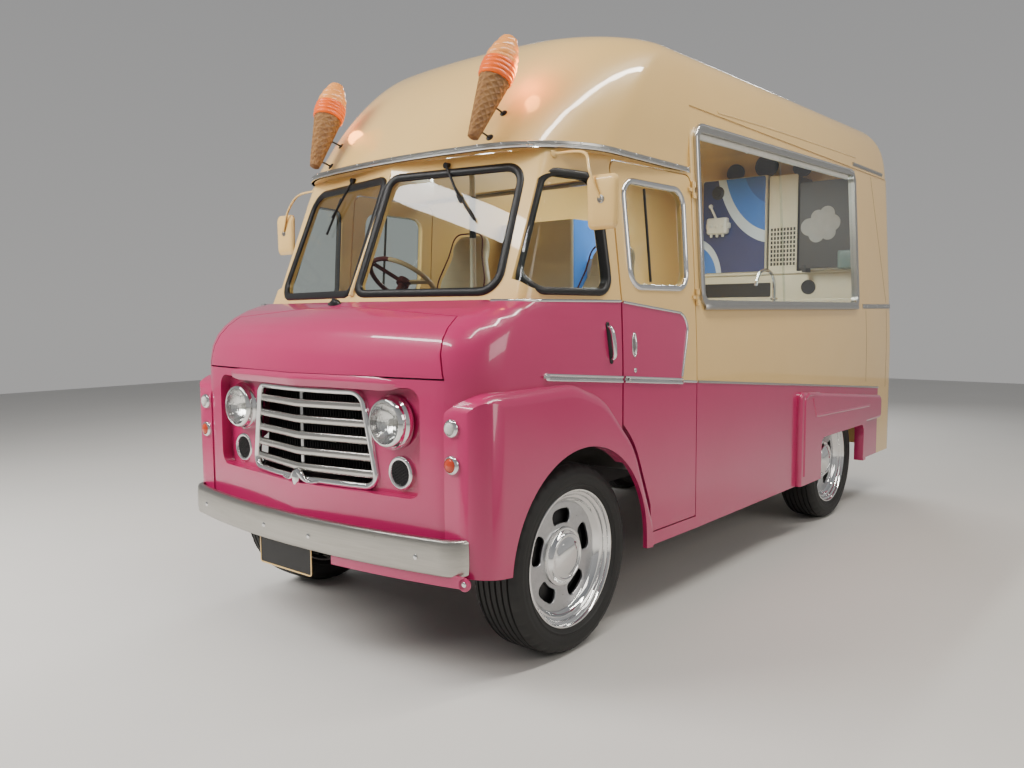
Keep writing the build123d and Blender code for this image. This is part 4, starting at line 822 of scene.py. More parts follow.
def headlamp_parts(side):
    """Bezel, lens, bowl and bulb of one headlamp."""
    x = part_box("headlamps")[1].x - HEADLAMP_DEPTH
    bezel = [
        (0.112, 0.0), (0.114, 0.012), (0.112, 0.024), (0.106, 0.029), (0.103, 0.036), (0.101, 0.046),
        (0.097, 0.054), (0.091, 0.060), (0.086, 0.0605), (0.083, 0.057), (0.0825, 0.050), (0.0825, 0.030),
        (0.104, 0.0),
    ]
    lens = []
    for i in range(13):
        r = 0.0828 * math.cos(math.pi / 2 * i / 12)
        lens.append((max(r, 0.0001), 0.052 + 0.030 * math.sin(math.pi / 2 * i / 12)))
    bowl = []
    for i in range(13):
        r = 0.081 * (1 - i / 12) + 0.0001
        bowl.append((r, 0.050 - 0.055 * (1 - (r / 0.081) ** 2)))
    bulb = [(0.0001, -0.004), (0.012, -0.003), (0.0125, 0.018), (0.009, 0.026), (0.0001, 0.029)]
    origin = (x, side * HEADLAMP[0], HEADLAMP[1])
    ahead = (1, 0, 0)
    return (
        placed(lathe(bezel, 64), origin, ahead),
        stud(lens, origin, ahead, 64),
        stud(bowl, origin, ahead, 64),
        stud(bulb, origin, ahead, 24),
    )


def lens_glass():
    """Pressed headlamp glass with upright flutes."""
    n = Nodes("headlamp_glass")
    y = n.xyz()[1]
    flutes = n.math("SINE", n.math("MULTIPLY", y, 520.0))
    n.set(transmission_weight=1.0, ior=1.35)
    n.colour((0.98, 0.98, 0.96, 1))
    n.rough(0.04)
    n.bump(n.spread(flutes, 0, 1), 0.002, 0.5)
    return n.mat


M["lens"] = lens_glass()
bezel_data, lens_data, bowl_data, bulb_data = both_sides(headlamp_parts)
bezels = put("headlamp_bezels", bezel_data, "chrome")
put("headlamp_lenses", lens_data, "lens")
put("headlamp_bowls", bowl_data, "chrome")
put("headlamp_bulbs", bulb_data, "clear_lens")
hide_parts("headlamps")


def horn_parts(side):
    y, z = side * HORN[0], HORN[1]
    low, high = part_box("horn_grilles")
    rim_depth = 0.012
    x = high.x - rim_depth
    deep = high.x - low.x - rim_depth
    ring = [
        (0.066, -deep), (0.068, 0.0), (0.069, 0.006), (0.066, 0.0105), (0.061, 0.012), (0.054, 0.0095),
        (0.051, 0.003), (0.051, -0.010), (0.0001, -0.010), (0.0001, -deep),
    ]
    pitch = 0.0115
    count = int(0.052 / pitch) + 1
    bars = []
    for angle in (0.0, math.pi / 3, -math.pi / 3):
        c, s = math.cos(angle), math.sin(angle)
        for i in range(-count, count + 1):
            off = i * pitch
            if abs(off) > 0.050:
                continue
            reach = math.sqrt(0.052**2 - off**2)
            a = Vector((x + 0.002, y + off * c - reach * s, z + off * s + reach * c))
            b = Vector((x + 0.002, y + off * c + reach * s, z + off * s - reach * c))
            bars.append(
                sweep([a, b], [Vector((1, 0, 0))] * 2, dome_profile(0.0034, 0.0018, 0.0012, 4), False)
            )
    back = [(0.0001, -0.004), (0.0505, -0.004), (0.0505, -0.009), (0.0001, -0.009)]
    place = (x, y, z)
    return placed(lathe(ring, 48), place, (1, 0, 0)), stud(back, place, (1, 0, 0), 36), join_data(bars)


ring_data, back_data, bars_data = both_sides(horn_parts)
horn_rings = put("horn_rings", ring_data, "chrome")
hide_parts("horn_grilles")
put("horn_backs", back_data, "core")
put("horn_meshes", bars_data, "plastic")


def marker(x, y, z, radius, direction):
    """A small round lamp: stepped bezel and a domed lens."""
    bezel = [
        (radius, 0.0), (radius + 0.001, 0.008), (radius - 0.003, 0.014), (radius - 0.009, 0.017),
        (radius - 0.011, 0.012), (radius - 0.011, 0.0),
    ]
    lens = []
    inner = radius - 0.0095
    for i in range(9):
        q = math.pi / 2 * i / 8
        lens.append((max(inner * math.cos(q), 0.0001), 0.010 + 0.016 * math.sin(q)))
    place = (x, y, z)
    return placed(lathe(bezel, 40), place, direction), stud(lens, place, direction, 40)


low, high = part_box("marker_lamps")
SIDE_LAMPS = ((1.061, 0.034, "clear_lens"), (0.920, 0.036, "amber"))
ring_parts = []
lens_parts = {"clear_lens": [], "amber": [], "red": []}
for side in (1, -1):
    for z, radius, look in SIDE_LAMPS:
        ring, lens = marker(high.x - 0.0265, side * 0.858, z, radius + 0.001, (1, 0, 0))
        ring_parts.append(ring)
        lens_parts[look].append(lens)
    for z, look in ((1.080, "red"), (0.960, "amber")):
        ring, lens = marker(low.x + 0.0285, side * 0.70, z, 0.048, (-1, 0, 0))
        ring_parts.append(ring)
        lens_parts[look].append(lens)
rings = put("marker_bezels", join_data(ring_parts), "chrome")
for look, parts in lens_parts.items():
    add("marker_lenses_" + look, *join_data(parts), M[look], "root", "lamp_amber")
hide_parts("marker_lamps")

# Number plate
PLATE_W, PLATE_H = 0.372, 0.134
PLATE_CENTRE = Vector((2.668, -0.068, 0.437))


def number_plate():
    ahead = Vector((1, 0, 0))
    half_w, half_h = PLATE_W / 2, PLATE_H / 2
    outline = rounded([(-half_w, -half_h), (half_w, -half_h), (half_w, half_h), (-half_w, half_h)], 0.012)
    front = [PLATE_CENTRE + Vector((0, p[0], p[1])) for p in outline]
    back = [v - ahead * 0.003 for v in front]
    n = len(front)
    faces = [tuple(range(n)), tuple(reversed(range(n, 2 * n)))]
    faces += [(i, (i + 1) % n, n + (i + 1) % n, n + i) for i in range(n)]
    plate = (front + back, faces)
    rim = sweep([v + ahead * 0.0005 for v in front], [ahead] * n, dome_profile(0.007, 0.002, 0.001, 4))
    return plate, rim


plate, rim_line = number_plate()
add("number_plate", *plate, M["core"], "root", "black_plastic", smooth=False)
put("number_plate_border", rim_line, "cream")

# Rods, plates and pads
def tube(points, radius, sides=14, closed=False):
    """A round rod along 3-D points. The radius is one number, or one for each point."""
    path = [Vector(p) for p in points]
    n = len(path)
    radii = radius if isinstance(radius, (list, tuple)) else [radius] * n
    aside = (path[1] - path[0]).orthogonal().normalized()
    verts = []
    for i in range(n):
        a = path[i - 1] if closed or i > 0 else path[0]
        b = path[(i + 1) % n] if closed or i < n - 1 else path[-1]
        t = (b - a).normalized()
        aside = (aside - t * aside.dot(t)).normalized()
        up = t.cross(aside)
        for j in range(sides):
            q = 2 * math.pi * j / sides
            verts.append(path[i] + (aside * math.cos(q) + up * math.sin(q)) * radii[i])
    faces = grid(n, sides, closed)
    if not closed:
        faces.append(tuple(reversed(range(sides))))
        faces.append(tuple((n - 1) * sides + j for j in range(sides)))
    return verts, faces


def curved(points, per=8):
    """A smooth line through 3-D points."""
    p = [Vector(v) for v in points]
    p = [p[0] * 2 - p[1]] + p + [p[-1] * 2 - p[-2]]
    found = []
    for i in range(1, len(p) - 2):
        for j in range(per):
            t = j / per
            a = p[i] * 2
            b = (p[i + 1] - p[i - 1]) * t
            c = (p[i - 1] * 2 - p[i] * 5 + p[i + 1] * 4 - p[i + 2]) * t * t
            d = (p[i] * 3 - p[i - 1] - p[i + 1] * 3 + p[i + 2]) * t * t * t
            found.append((a + b + c + d) / 2)
    found.append(p[-2])
    return found


def cut_plate(outlines, thick, edge, steps=3):
    """A flat plate from closed 2-D outlines, the first outside and the rest holes, its edges rounded."""
    curve = bpy.data.curves.new("cut", "CURVE")
    curve.dimensions = "2D"
    curve.fill_mode = "BOTH"
    for outline in outlines:
        line = curve.splines.new("POLY")
        line.points.add(len(outline) - 1)
        for point, p in zip(line.points, outline):
            point.co = (p[0], p[1], 0, 1)
        line.use_cyclic_u = True
    curve.extrude = max(thick / 2 - edge, 0.0001)
    curve.bevel_depth = edge
    curve.bevel_resolution = steps
    curve.offset = -edge
    obj = bpy.data.objects.new("cut", curve)
    bpy.context.scene.collection.objects.link(obj)
    data = bpy.data.meshes.new_from_object(obj.evaluated_get(bpy.context.evaluated_depsgraph_get()))
    verts = [v.co.copy() for v in data.vertices]
    faces = [tuple(p.vertices) for p in data.polygons]
    bpy.data.objects.remove(obj)
    bpy.data.curves.remove(curve)
    bpy.data.meshes.remove(data)
    return verts, faces


def oriented(data, origin, across, up):
    """Flat data (x across, y up, z out) set at a place."""
    a = Vector(across).normalized()
    out = a.cross(Vector(up)).normalized()
    b = out.cross(a)
    verts, faces = data
    return [Vector(origin) + a * v[0] + b * v[1] + out * v[2] for v in verts], faces


def upright(outlines, thick, edge, place):
    """A flat plate that faces forward, from (y, z) outlines about a place."""
    return oriented(cut_plate(outlines, thick, edge), place, (0, 1, 0), (0, 0, 1))


def oblong(low, high, radius, step=0.04):
    """A rounded 2-D rectangle from two corners."""
    return rounded(
        [(low[0], low[1]), (high[0], low[1]), (high[0], high[1]), (low[0], high[1])], radius, step
    )


def panel_box(low, high, edge=0.006):
    """A box-like panel with rounded edges, from its corners."""
    sx, sy, sz = (high[i] - low[i] for i in range(3))
    outline = rounded([(0, 0), (sx, 0), (sx, sy), (0, sy)], min(edge * 2, sx / 3, sy / 3), 0.05)
    verts, faces = cut_plate([outline], sz, edge)
    return [Vector((v[0] + low[0], v[1] + low[1], v[2] + (low[2] + high[2]) / 2)) for v in verts], faces


def disc(radius, steps):
    """A circle's points."""
    turns = [2 * math.pi * i / steps for i in range(steps)]
    return [(radius * math.cos(q), radius * math.sin(q)) for q in turns]


def facing(direction):
    """Across and up for a thing that faces a direction."""
    d = Vector(direction).normalized()
    up = Vector((0, 0, 1))
    return up.cross(d).normalized(), d.cross(up.cross(d)).normalized()


def screw(place, direction, radius=0.007, rise=0.003):
    """A domed fixing head."""
    profile = [
        (radius, -0.001), (radius, rise * 0.4), (radius * 0.8, rise * 0.8), (radius * 0.4, rise),
        (0.0001, rise),
    ]
    return stud(profile, place, direction, 20)


# Cone lamps
CONE_FOOT = (2.088, 0.550, 2.245)
CONE_HEAD = (1.885, 0.600, 2.710)
WAFER_END = 0.57
BAND_END = 0.74


def turned_form(radius_at, length, rows, around):
    """A closed form about Z whose radius depends on height and angle."""
    verts = [Vector((0, 0, 0))]
    for i in range(1, rows):
        h = length * i / rows
        for j in range(around):
            q = 2 * math.pi * j / around
            r = radius_at(i / rows, q)
            verts.append(Vector((r * math.cos(q), r * math.sin(q), h)))
    verts.append(Vector((0, 0, length)))
    faces = []
    for j in range(around):
        k = (j + 1) % around
        faces.append((0, 1 + k, 1 + j))
        for i in range(rows - 2):
            a = 1 + i * around
            faces.append((a + j, a + k, a + around + k, a + around + j))
        last = 1 + (rows - 2) * around
        faces.append((last + j, last + k, len(verts) - 1))
    return verts, faces


def cone_ends(side):
    foot = Vector((CONE_FOOT[0], side * CONE_FOOT[1], CONE_FOOT[2]))
    head = Vector((CONE_HEAD[0], side * CONE_HEAD[1], CONE_HEAD[2]))
    return foot, head


def cone_lamp_parts(side):
    """Wafer, glowing band and swirl of one cone."""
    foot, head = cone_ends(side)
    axis = head - foot
    length = axis.length
    wafer_long = length * (WAFER_END + 0.01)

    def wafer_r(s, q):
        base = 0.0235 + (0.070 - 0.0235) * s
        base *= min(1.0, math.sqrt(max(s, 0.0) / 0.03)) if s < 0.03 else 1.0
        a = q / (2 * math.pi) * 9 + s * 9.0
        b = q / (2 * math.pi) * 9 - s * 9.0
        ridge = max(abs(math.cos(math.pi * a)), abs(math.cos(math.pi * b))) ** 5
        return base + 0.0028 * (ridge - 0.5) * min(1.0, s * 6)

    def swirl_r(s, q):
        points = (
            (0.0, 0.070), (0.08, 0.0735), (0.30, 0.069), (0.50, 0.060), (0.75, 0.047), (0.90, 0.036),
            (0.97, 0.024), (1.0, 0.004),
        )
        for (s0, r0), (s1, r1) in zip(points[:-1], points[1:]):
            if s <= s1:
                base = r0 + (r1 - r0) * (s - s0) / (s1 - s0)
                break
        coil = abs(math.sin(math.pi * (s * 3.2 - q / (2 * math.pi))))
        return base * (0.93 + 0.10 * coil ** 0.6)

    wafer_part = turned_form(wafer_r, wafer_long, 96, 144)
    band = []
    rings = 4
    start, stop = length * WAFER_END, length * BAND_END
    for i in range(rings * 10 + 1):
        s = i / (rings * 10)
        bulge = abs(math.sin(math.pi * s * rings))
        band.append((0.0735 + 0.004 * math.sin(math.pi * s) + 0.0035 * bulge, start + (stop - start) * s))
    band = [(0.060, start - 0.002)] + band + [(0.060, stop + 0.002)]
    swirl_part = turned_form(swirl_r, length * (1 - BAND_END) + 0.004, 60, 96)
    shift = axis.normalized() * (stop - 0.002)
    return (
        placed(wafer_part, foot, axis),
        placed(lathe(band, 96), foot, axis),
        placed(swirl_part, foot + shift, axis),
    )


tree_roof = tree_of("roof", "cab_upper")


def cone_stays(side):
    """Two stays from the cone to the dome, each with a small foot plate."""
    foot, head = cone_ends(side)
    foot_plate = [(0.0001, -0.003), (0.017, -0.003), (0.017, 0.002), (0.013, 0.004), (0.0001, 0.0045)]
    parts = []
    for share in (0.08, 0.34):
        hold = foot.lerp(head, share)
        hit = cast(tree_roof, hold, (-1, 0, -0.15))
        if hit is None:
            continue
        end, normal = hit
        middle = hold.lerp(end, 0.5) + Vector((0, 0, 0.006))
        parts.append(tube(curved([hold, middle, end - normal * 0.002], 6), 0.0045))
        parts.append(stud(foot_plate, end, normal))
    return join_data(parts)


wafer_data, band_data, swirl_data = both_sides(cone_lamp_parts)
cone_wafers = put("cone_wafers", wafer_data, "wafer")
put("cone_bands", band_data, "cone_glow")
put("cone_swirls", swirl_data, "cone_swirl")
put("cone_stays", join_data([cone_stays(side) for side in (1, -1)]), "plastic")
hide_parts("cone_lamps")

# Wheels
TREAD_HALF = 0.125
TREAD_BLOCKS = 216
BLOCKS_PER_CUT = 6


def tyre_data(x, side):
    """A road tyre: grooved tread, shoulder blocks, ribbed side walls."""
    half = TREAD_HALF
    wall = [
        (0.292, half - 0.030), (0.305, half - 0.022), (0.318, half - 0.010), (0.3215, half - 0.0085),
        (0.324, half - 0.0035), (0.328, half - 0.0030), (0.331, half - 0.0055), (0.345, half - 0.0012),
        (0.358, half), (0.362, half - 0.0015), (0.366, half), (0.378, half - 0.0015),
        (0.381, half - 0.0040), (0.392, half - 0.0070), (0.402, half - 0.013), (0.4095, half - 0.021),
    ]
    tread = []
    grooves = (0.080, 0.048, 0.016, -0.016, -0.048, -0.080)
    for g in grooves:
        crown = 0.420 - 0.004 * (abs(g) / 0.10) ** 2
        tread += [
            (crown, g + 0.0055), (crown - 0.008, g + 0.0035), (crown - 0.008, g - 0.0035),
            (crown, g - 0.0055),
        ]
    inner_wall = [(r, -h) for r, h in reversed(wall)]
    profile = [*wall, (0.4140, half - 0.029), *tread, (0.4140, 0.029 - half), *inner_wall]
    verts = []
    for i in range(TREAD_BLOCKS):
        q = 2 * math.pi * i / TREAD_BLOCKS
        cut = i % BLOCKS_PER_CUT == 0
        for r, h in profile:
            out = abs(h)
            low = r
            if cut and 0.088 < out < 0.118 and r > 0.39:
                low = r - 0.006
            verts.append(Vector((x + low * math.cos(q), side * (WHEEL_Y + h), AXLE_Z + low * math.sin(q))))
    return verts, grid(TREAD_BLOCKS, len(profile), True)


def turned(profile, x, side, steps=96, close=True):
    """(radius, outward) points turned about a wheel's axis; outward counts from the wheel's middle."""
    verts, faces = lathe(profile, steps, close)
    return [Vector((x + v[0], side * (WHEEL_Y + v[2]), AXLE_Z + v[1])) for v in verts], faces


RIM_PROFILE = [
    (0.300, 0.098), (0.3055, 0.101), (0.3060, 0.1055), (0.3035, 0.1080), (0.2975, 0.1075), (0.2930, 0.1000),
    (0.2915, 0.0930), (0.2820, 0.0895), (0.2785, 0.0860), (0.2770, 0.0760), (0.2690, 0.0700),
    (0.2640, 0.0690), (0.2610, 0.0640), (0.2560, 0.0540), (0.2480, 0.0500), (0.2430, 0.0440),
    (0.2430, -0.060), (0.2750, -0.080), (0.3060, -0.098), (0.3060, -0.107), (0.2980, -0.107),
    (0.2880, -0.092), (0.2700, -0.070), (0.2560, -0.055), (0.2560, 0.020), (0.2880, 0.090),
]


def wheel_slot(number):
    """One slot of the disc: a piece of a ring with rounded corners, wider outside."""
    middle = math.pi / 2 + 2 * math.pi * number / 5
    points = []
    for r, half in ((0.149, 0.36), (0.213, 0.345)):
        for share in (-1, -0.5, 0, 0.5, 1):
            points.append((r, middle + half * share))
    ring = points[:5] + list(reversed(points[5:]))
    corners = [(r * math.cos(a), r * math.sin(a)) for r, a in ring]
    radii = [0.020 if i in (0, 4) else 0.028 if i in (5, 9) else 0.004 for i in range(10)]
    return rounded(corners, radii, 0.006)


def disc_data(x, side):
    outside = disc(0.246, 120)
    holes = [wheel_slot(number) for number in range(5)]
    verts, faces = cut_plate([outside, *holes], 0.016, 0.0055, 4)
    face_y = WHEEL_Y + 0.0455
    return [Vector((x + v[0], side * (face_y + v[2] - 0.008), AXLE_Z + v[1])) for v in verts], faces


CAP_PROFILE = [
    (0.132, 0.040), (0.132, 0.052), (0.129, 0.058), (0.123, 0.060), (0.118, 0.0585), (0.115, 0.060),
    (0.110, 0.072), (0.106, 0.078), (0.100, 0.0805), (0.095, 0.079), (0.092, 0.0755), (0.088, 0.0755),
    (0.075, 0.0835), (0.055, 0.0900), (0.030, 0.0940), (0.0001, 0.0950),
]

DRUM_PROFILE = [(0.0001, 0.012), (0.205, 0.012), (0.215, 0.004), (0.215, -0.060), (0.0001, -0.060)]

for x, end in ((FRONT_AXLE_X, "front"), (REAR_AXLE_X, "rear")):
    for side, tag in SIDES:
        place = end + "_" + tag
        body = "wheel_" + place
        rubber_part = put("tyre_dressed_" + place, tyre_data(x, side), "tyre", body)
        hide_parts("tyre_" + place)
        lip = put("rim_lip_" + place, turned(RIM_PROFILE, x, side), "chrome", body, slot="polished_alloy")
        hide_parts("rim_" + place)
        put("rim_disc_" + place, disc_data(x, side), "alloy", body)
        put("rim_cap_" + place, turned(CAP_PROFILE, x, side, 72, False), "chrome", body)
        put(
            "brake_drum_" + place, turned(DRUM_PROFILE, x, side, 64, False), "core", body,
            slot="chassis_black",
        )

# Grille
GRILLE_FOOT = (0.432, 0.780)
GRILLE_HEAD = (0.358, 1.172)
tree_grille = tree_of("grille", "nose_panel")
tree_fascia = tree_of("nose_panel")


def grille_half(z):
    """The opening's half width at a height."""
    share = (z - GRILLE_FOOT[1]) / (GRILLE_HEAD[1] - GRILLE_FOOT[1])
    return GRILLE_FOOT[0] + (GRILLE_HEAD[0] - GRILLE_FOOT[0]) * share


def fascia_near(y):
    """The fascia's front face beside the grille, carried across its opening."""
    edge = 0.50
    hits = [cast(tree_fascia, (6, s * edge, 0.96), (-1, 0, 0)) for s in (1, -1)]
    crown = cast(tree_grille, (6, 0.0, 0.802), (-1, 0, 0))[0].x
    side_x = (hits[0][0].x + hits[1][0].x) / 2
    return crown + (side_x - crown) * (abs(y) / edge) ** 1.7


def grille_ring(grow, lift):
    foot, head = GRILLE_FOOT[0] + grow, GRILLE_HEAD[0] + grow
    low, high = GRILLE_FOOT[1] - grow, GRILLE_HEAD[1] + grow
    outline = rounded(
        [(-foot, low), (foot, low), (head, high), (-head, high)], (0.050, 0.050, 0.066, 0.066), 0.012
    )
    return [Vector((fascia_near(p[0]) + lift, p[0], p[1])) for p in outline]


def grille_surround():
    path = grille_ring(0.002, -0.004)
    outs = [Vector((1, 0, 0))] * len(path)
    band = [(-0.015, -0.010), (-0.015, 0.004), (-0.010, 0.010), (-0.003, 0.013), (0.004, 0.013)]
    band += [(0.010, 0.009), (0.013, 0.002), (0.0135, -0.030), (0.010, -0.030), (0.009, -0.010)]
    return sweep(path, outs, band)


def grille_bars():
    """Five heavy bars, each bent at the middle post."""
    section = [(-0.0165, -0.010), (-0.0175, 0.000), (-0.0150, 0.0065), (-0.0080, 0.0105), (0.0, 0.0118)]
    section += [
        (0.0080, 0.0105), (0.0150, 0.0065), (0.0175, 0.000), (0.0165, -0.010), (0.012, -0.014),
        (-0.012, -0.014),
    ]
    parts = []
    pitch = (GRILLE_HEAD[1] - GRILLE_FOOT[1]) / 5.6
    for number in range(5):
        z = GRILLE_FOOT[1] + (number + 0.72) * pitch
        half = grille_half(z) - 0.006
        edge_x = fascia_near(half) - 0.014
        mid_x = fascia_near(0) + 0.003
        path = []
        for y in (-half, -half * 0.66, -half * 0.33, -0.012, 0.0, 0.012, half * 0.33, half * 0.66, half):
            share = max(0.0, 1 - abs(y) / half)
            rise = 0.004 if y == 0.0 else 0.0
            path.append(Vector((edge_x + (mid_x - edge_x) * share - rise, y, z)))
        parts.append(sweep(path, [Vector((1, 0, 0))] * len(path), section, False))
    return join_data(parts)


def grille_post():
    x = fascia_near(0) - 0.016
    path = [Vector((x, 0, 0.785)), Vector((x, 0, 0.90)), Vector((x, 0, 1.05)), Vector((x, 0, 1.175))]
    section = [
        (-0.009, -0.010), (-0.009, 0.002), (-0.005, 0.006), (0.005, 0.006), (0.009, 0.002), (0.009, -0.010),
    ]
    return sweep(path, [Vector((1, 0, 0))] * 4, section, False)


def grille_ornament():
    """The chrome wings and drop at the grille's foot."""
    x = fascia_near(0) + 0.012
    parts = []
    for side in (1, -1):
        points = [
            (x + 0.006, side * 0.002, 0.812), (x + 0.004, side * 0.022, 0.800), (x, side * 0.045, 0.779),
            (x - 0.004, side * 0.075, 0.769), (x - 0.010, side * 0.120, 0.776),
        ]
        path = curved(points, 5)
        n = len(path)
        parts.append(tube(path, [0.0165 - 0.0095 * i / (n - 1) for i in range(n)], 16))
    drop = curved(
        [
            (x + 0.004, 0, 0.815), (x + 0.010, 0, 0.795), (x + 0.008, 0, 0.770), (x + 0.002, 0, 0.747),
            (x - 0.006, 0, 0.735),
        ],
        5,
    )
    n = len(drop)
    shares = [min(1.0, 0.18 + 0.82 * i / (n - 1)) for i in range(n)]
    radii = [0.006 + 0.0145 * math.sin(math.pi * share) ** 0.8 for share in shares]
    parts.append(tube(drop, radii, 18))
    return join_data(parts)


surround = put("grille_surround", grille_surround(), "chrome")
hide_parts("grille")
put("grille_bars", grille_bars(), "bar_satin")
put("grille_post", grille_post(), "chrome")
put("grille_ornament", grille_ornament(), "chrome")
back_x = fascia_near(0.43) - 0.075
fins = []
for i in range(-21, 22):
    y = i * 0.019
    fins.append(panel_box((back_x, y - 0.0022, 0.775), (back_x + 0.012, y + 0.0022, 1.175), 0.0008))
put("grille_core", join_data(fins), "core")
panel = [
    (back_x - 0.002, -0.46, 0.74), (back_x - 0.002, 0.46, 0.74), (back_x - 0.002, 0.40, 1.19),
    (back_x - 0.002, -0.40, 1.19),
]
add("grille_backing", panel, [(0, 1, 2, 3)], M["mesh"], "root", "black_plastic", smooth=False)

# Front: brow, vent, bumper
def brow():
    """The pressed lip over the recessed fascia: a long soft ridge that fades at its ends."""
    points = [(0.0, 1.226), (0.25, 1.226), (0.42, 1.225), (0.52, 1.223), (0.580, 1.220), (0.615, 1.216)]
    line = [(-y, z) for y, z in reversed(points)] + points[1:]
    dense = curved([(y, z, 0) for y, z in line], 8)
    path, outs = on_front(tree_fascia, [(p.x, p.y) for p in dense])
    n = len(path)
    outs = soft(outs, 10)
    section = [
        (-0.018, -0.35), (-0.013, 0.25), (-0.008, 0.62), (-0.002, 0.92), (0.004, 1.0), (0.010, 0.85),
        (0.017, 0.55), (0.026, 0.22), (0.036, -0.35),
    ]
    verts = []
    for i in range(n):
        a, b = path[max(i - 1, 0)], path[min(i + 1, n - 1)]
        t = (b - a).normalized()
        o = (outs[i] - t * outs[i].dot(t)).normalized()
        s = t.cross(o)
        ease = min(1.0, math.sin(math.pi * i / (n - 1)) * 1.35)
        fade = ease * ease * (3 - 2 * ease)
        for u, v in section:
            rise = 0.0085 * v * fade if v > 0 else 0.006 * v
            verts.append(path[i] + s * u * (0.35 + 0.65 * fade) + o * (rise - 0.004 * (1 - fade)))
    return verts, grid(n, len(section), False, False)


put("fascia_brow", brow(), "pink")


def teardrop():
    """The dark cowl vent below the windscreen."""
    place, normal = cast(tree_of("cowl"), (2.374, -0.06, 3), (0, 0, -1))
    across = Vector((0.25, 1, 0))
    across = (across - normal * across.dot(normal)).normalized()
    along = normal.cross(across)
    verts = []
    rows, around = 8, 32
    for i in range(rows + 1):
        s = i / rows
        for j in range(around):
            q = 2 * math.pi * j / around
            a = 0.060 * math.cos(q) * s
            b = (0.021 + 0.009 * math.cos(q)) * math.sin(q) * s
            rise = 0.022 * math.sqrt(max(0.0, 1 - s * s)) * (1.0 + 0.4 * math.cos(q))
            verts.append(place + across * a + along * b + normal * (rise - 0.001))
    return verts, grid(rows + 1, around)


put("cowl_vent", teardrop(), "plastic")

tree_bumper = tree_of("front_bumper")


def bumper_shape():
    """The bowed bumper: a crowned face with rolled edges, its ends wrapped back."""
    low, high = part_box("front_bumper")
    mid_z = (low.z + high.z) / 2
    half = (high.z - low.z) / 2
    bow_y = high.y - 0.12
    face = cast(tree_bumper, (6, 0.0, mid_z), (-1, 0, 0))[0].x
    side_x = cast(tree_bumper, (6, bow_y, mid_z), (-1, 0, 0))[0].x
    points = []
    for i in range(41):
        y = -bow_y + 2 * bow_y * i / 40
        points.append(Vector((face - (face - side_x) * (y / bow_y) ** 2, y, mid_z)))
    wrap = []
    for i in range(1, 13):
        q = math.pi / 2 * 0.86 * i / 12
        wrap.append((0.112 * math.sin(q), 0.085 * (1 - math.cos(q)) + 0.012 * i / 12))
    left = [Vector((side_x - back, -bow_y - out, mid_z)) for out, back in wrap]
    right = [Vector((side_x - back, bow_y + out, mid_z)) for out, back in wrap]
    path = list(reversed(left)) + points + right
    section = [(-half, -0.030), (-half, -0.016), (-half + 0.003, -0.008), (-half + 0.010, -0.0035)]
    section += [
        (-half + 0.022, -0.0025), (-half * 0.5, -0.0008), (0.0, 0.0), (half * 0.5, -0.0008),
        (half - 0.022, -0.0025),
    ]
    section += [(half - 0.010, -0.0035), (half - 0.003, -0.008), (half, -0.016), (half, -0.030)]
    section += [
        (half - 0.005, -0.030), (half - 0.005, -0.014), (0.0, -0.008), (-half + 0.005, -0.014),
        (-half + 0.005, -0.030),
    ]
    outs = []
    n = len(path)
    for i in range(n):
        t = path[min(i + 1, n - 1)] - path[max(i - 1, 0)]
        outs.append(Vector((t.y, -t.x, 0)).normalized())
    data = sweep(path, outs, section, False)
    bolts = []
    for y in (0.74, 0.16, -0.16, -0.74):
        x = face - (face - side_x) * (y / bow_y) ** 2
        bolts.append(screw((x - 0.001, y, mid_z - 0.006), (1, 0, 0), 0.011, 0.006))
    return data, join_data(bolts)


bumper_part, bolts = bumper_shape()
front_bar = put("bumper_front", bumper_part, "bumper")
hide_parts("front_bumper")
put("bumper_bolts", bolts, "chrome")


def valance():
    """The pink apron below the bumper's left half, its outer end rounded, with a bolt there."""
    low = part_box("front_bumper")[0]
    path = []
    for i in range(25):
        y = 0.28 + 0.66 * i / 24
        hit = cast(tree_bumper, (6, y, low.z + 0.03), (-1, 0, 0))
        if hit:
            path.append(hit[0] + Vector((-0.020, 0, low.z - 0.018 - hit[0].z)))
    section = [(-0.028, -0.004), (-0.028, 0.004), (0.020, 0.004), (0.020, -0.004)]
    band = sweep(path, [Vector((1, 0, 0))] * len(path), section, False)
    tip = path[-1]
    out = (path[-1] - path[-2]).cross(Vector((0, 0, 1))).normalized()
    if out.x < 0:
        out = -out
    round_end = [(0.0001, -0.004), (0.026, -0.004), (0.026, 0.003), (0.024, 0.004), (0.0001, 0.004)]
    cap = stud(round_end, tip + Vector((0, 0, -0.002)), out, 32)
    return join_data([band, cap]), screw(tip + out * 0.004, out, 0.010, 0.005)


apron, apron_bolt = valance()
put("valance", apron, "pink")
put("valance_bolts", apron_bolt, "chrome")

# Windscreen post, drip rail
post_low = Vector((0.438 + SHIFT - 0.006, 0, 1.575))
post_high = Vector((0.169 + SHIFT - 0.004, 0, 2.156))
lean = (post_high - post_low).normalized()
post_out = Vector((lean.z, 0, -lean.x))
post_path = [post_low.lerp(post_high, i / 10) + post_out * 0.004 for i in range(11)]
put("windscreen_post", sweep(post_path, [post_out] * 11, dome_profile(0.020, 0.013, 0.012), False), "cream")

tree_rail = tree_of("drip_rail")
tree_shell = tree_of("cab_upper", "roof", "body_side_left", "body_side_right", "rear_panel")


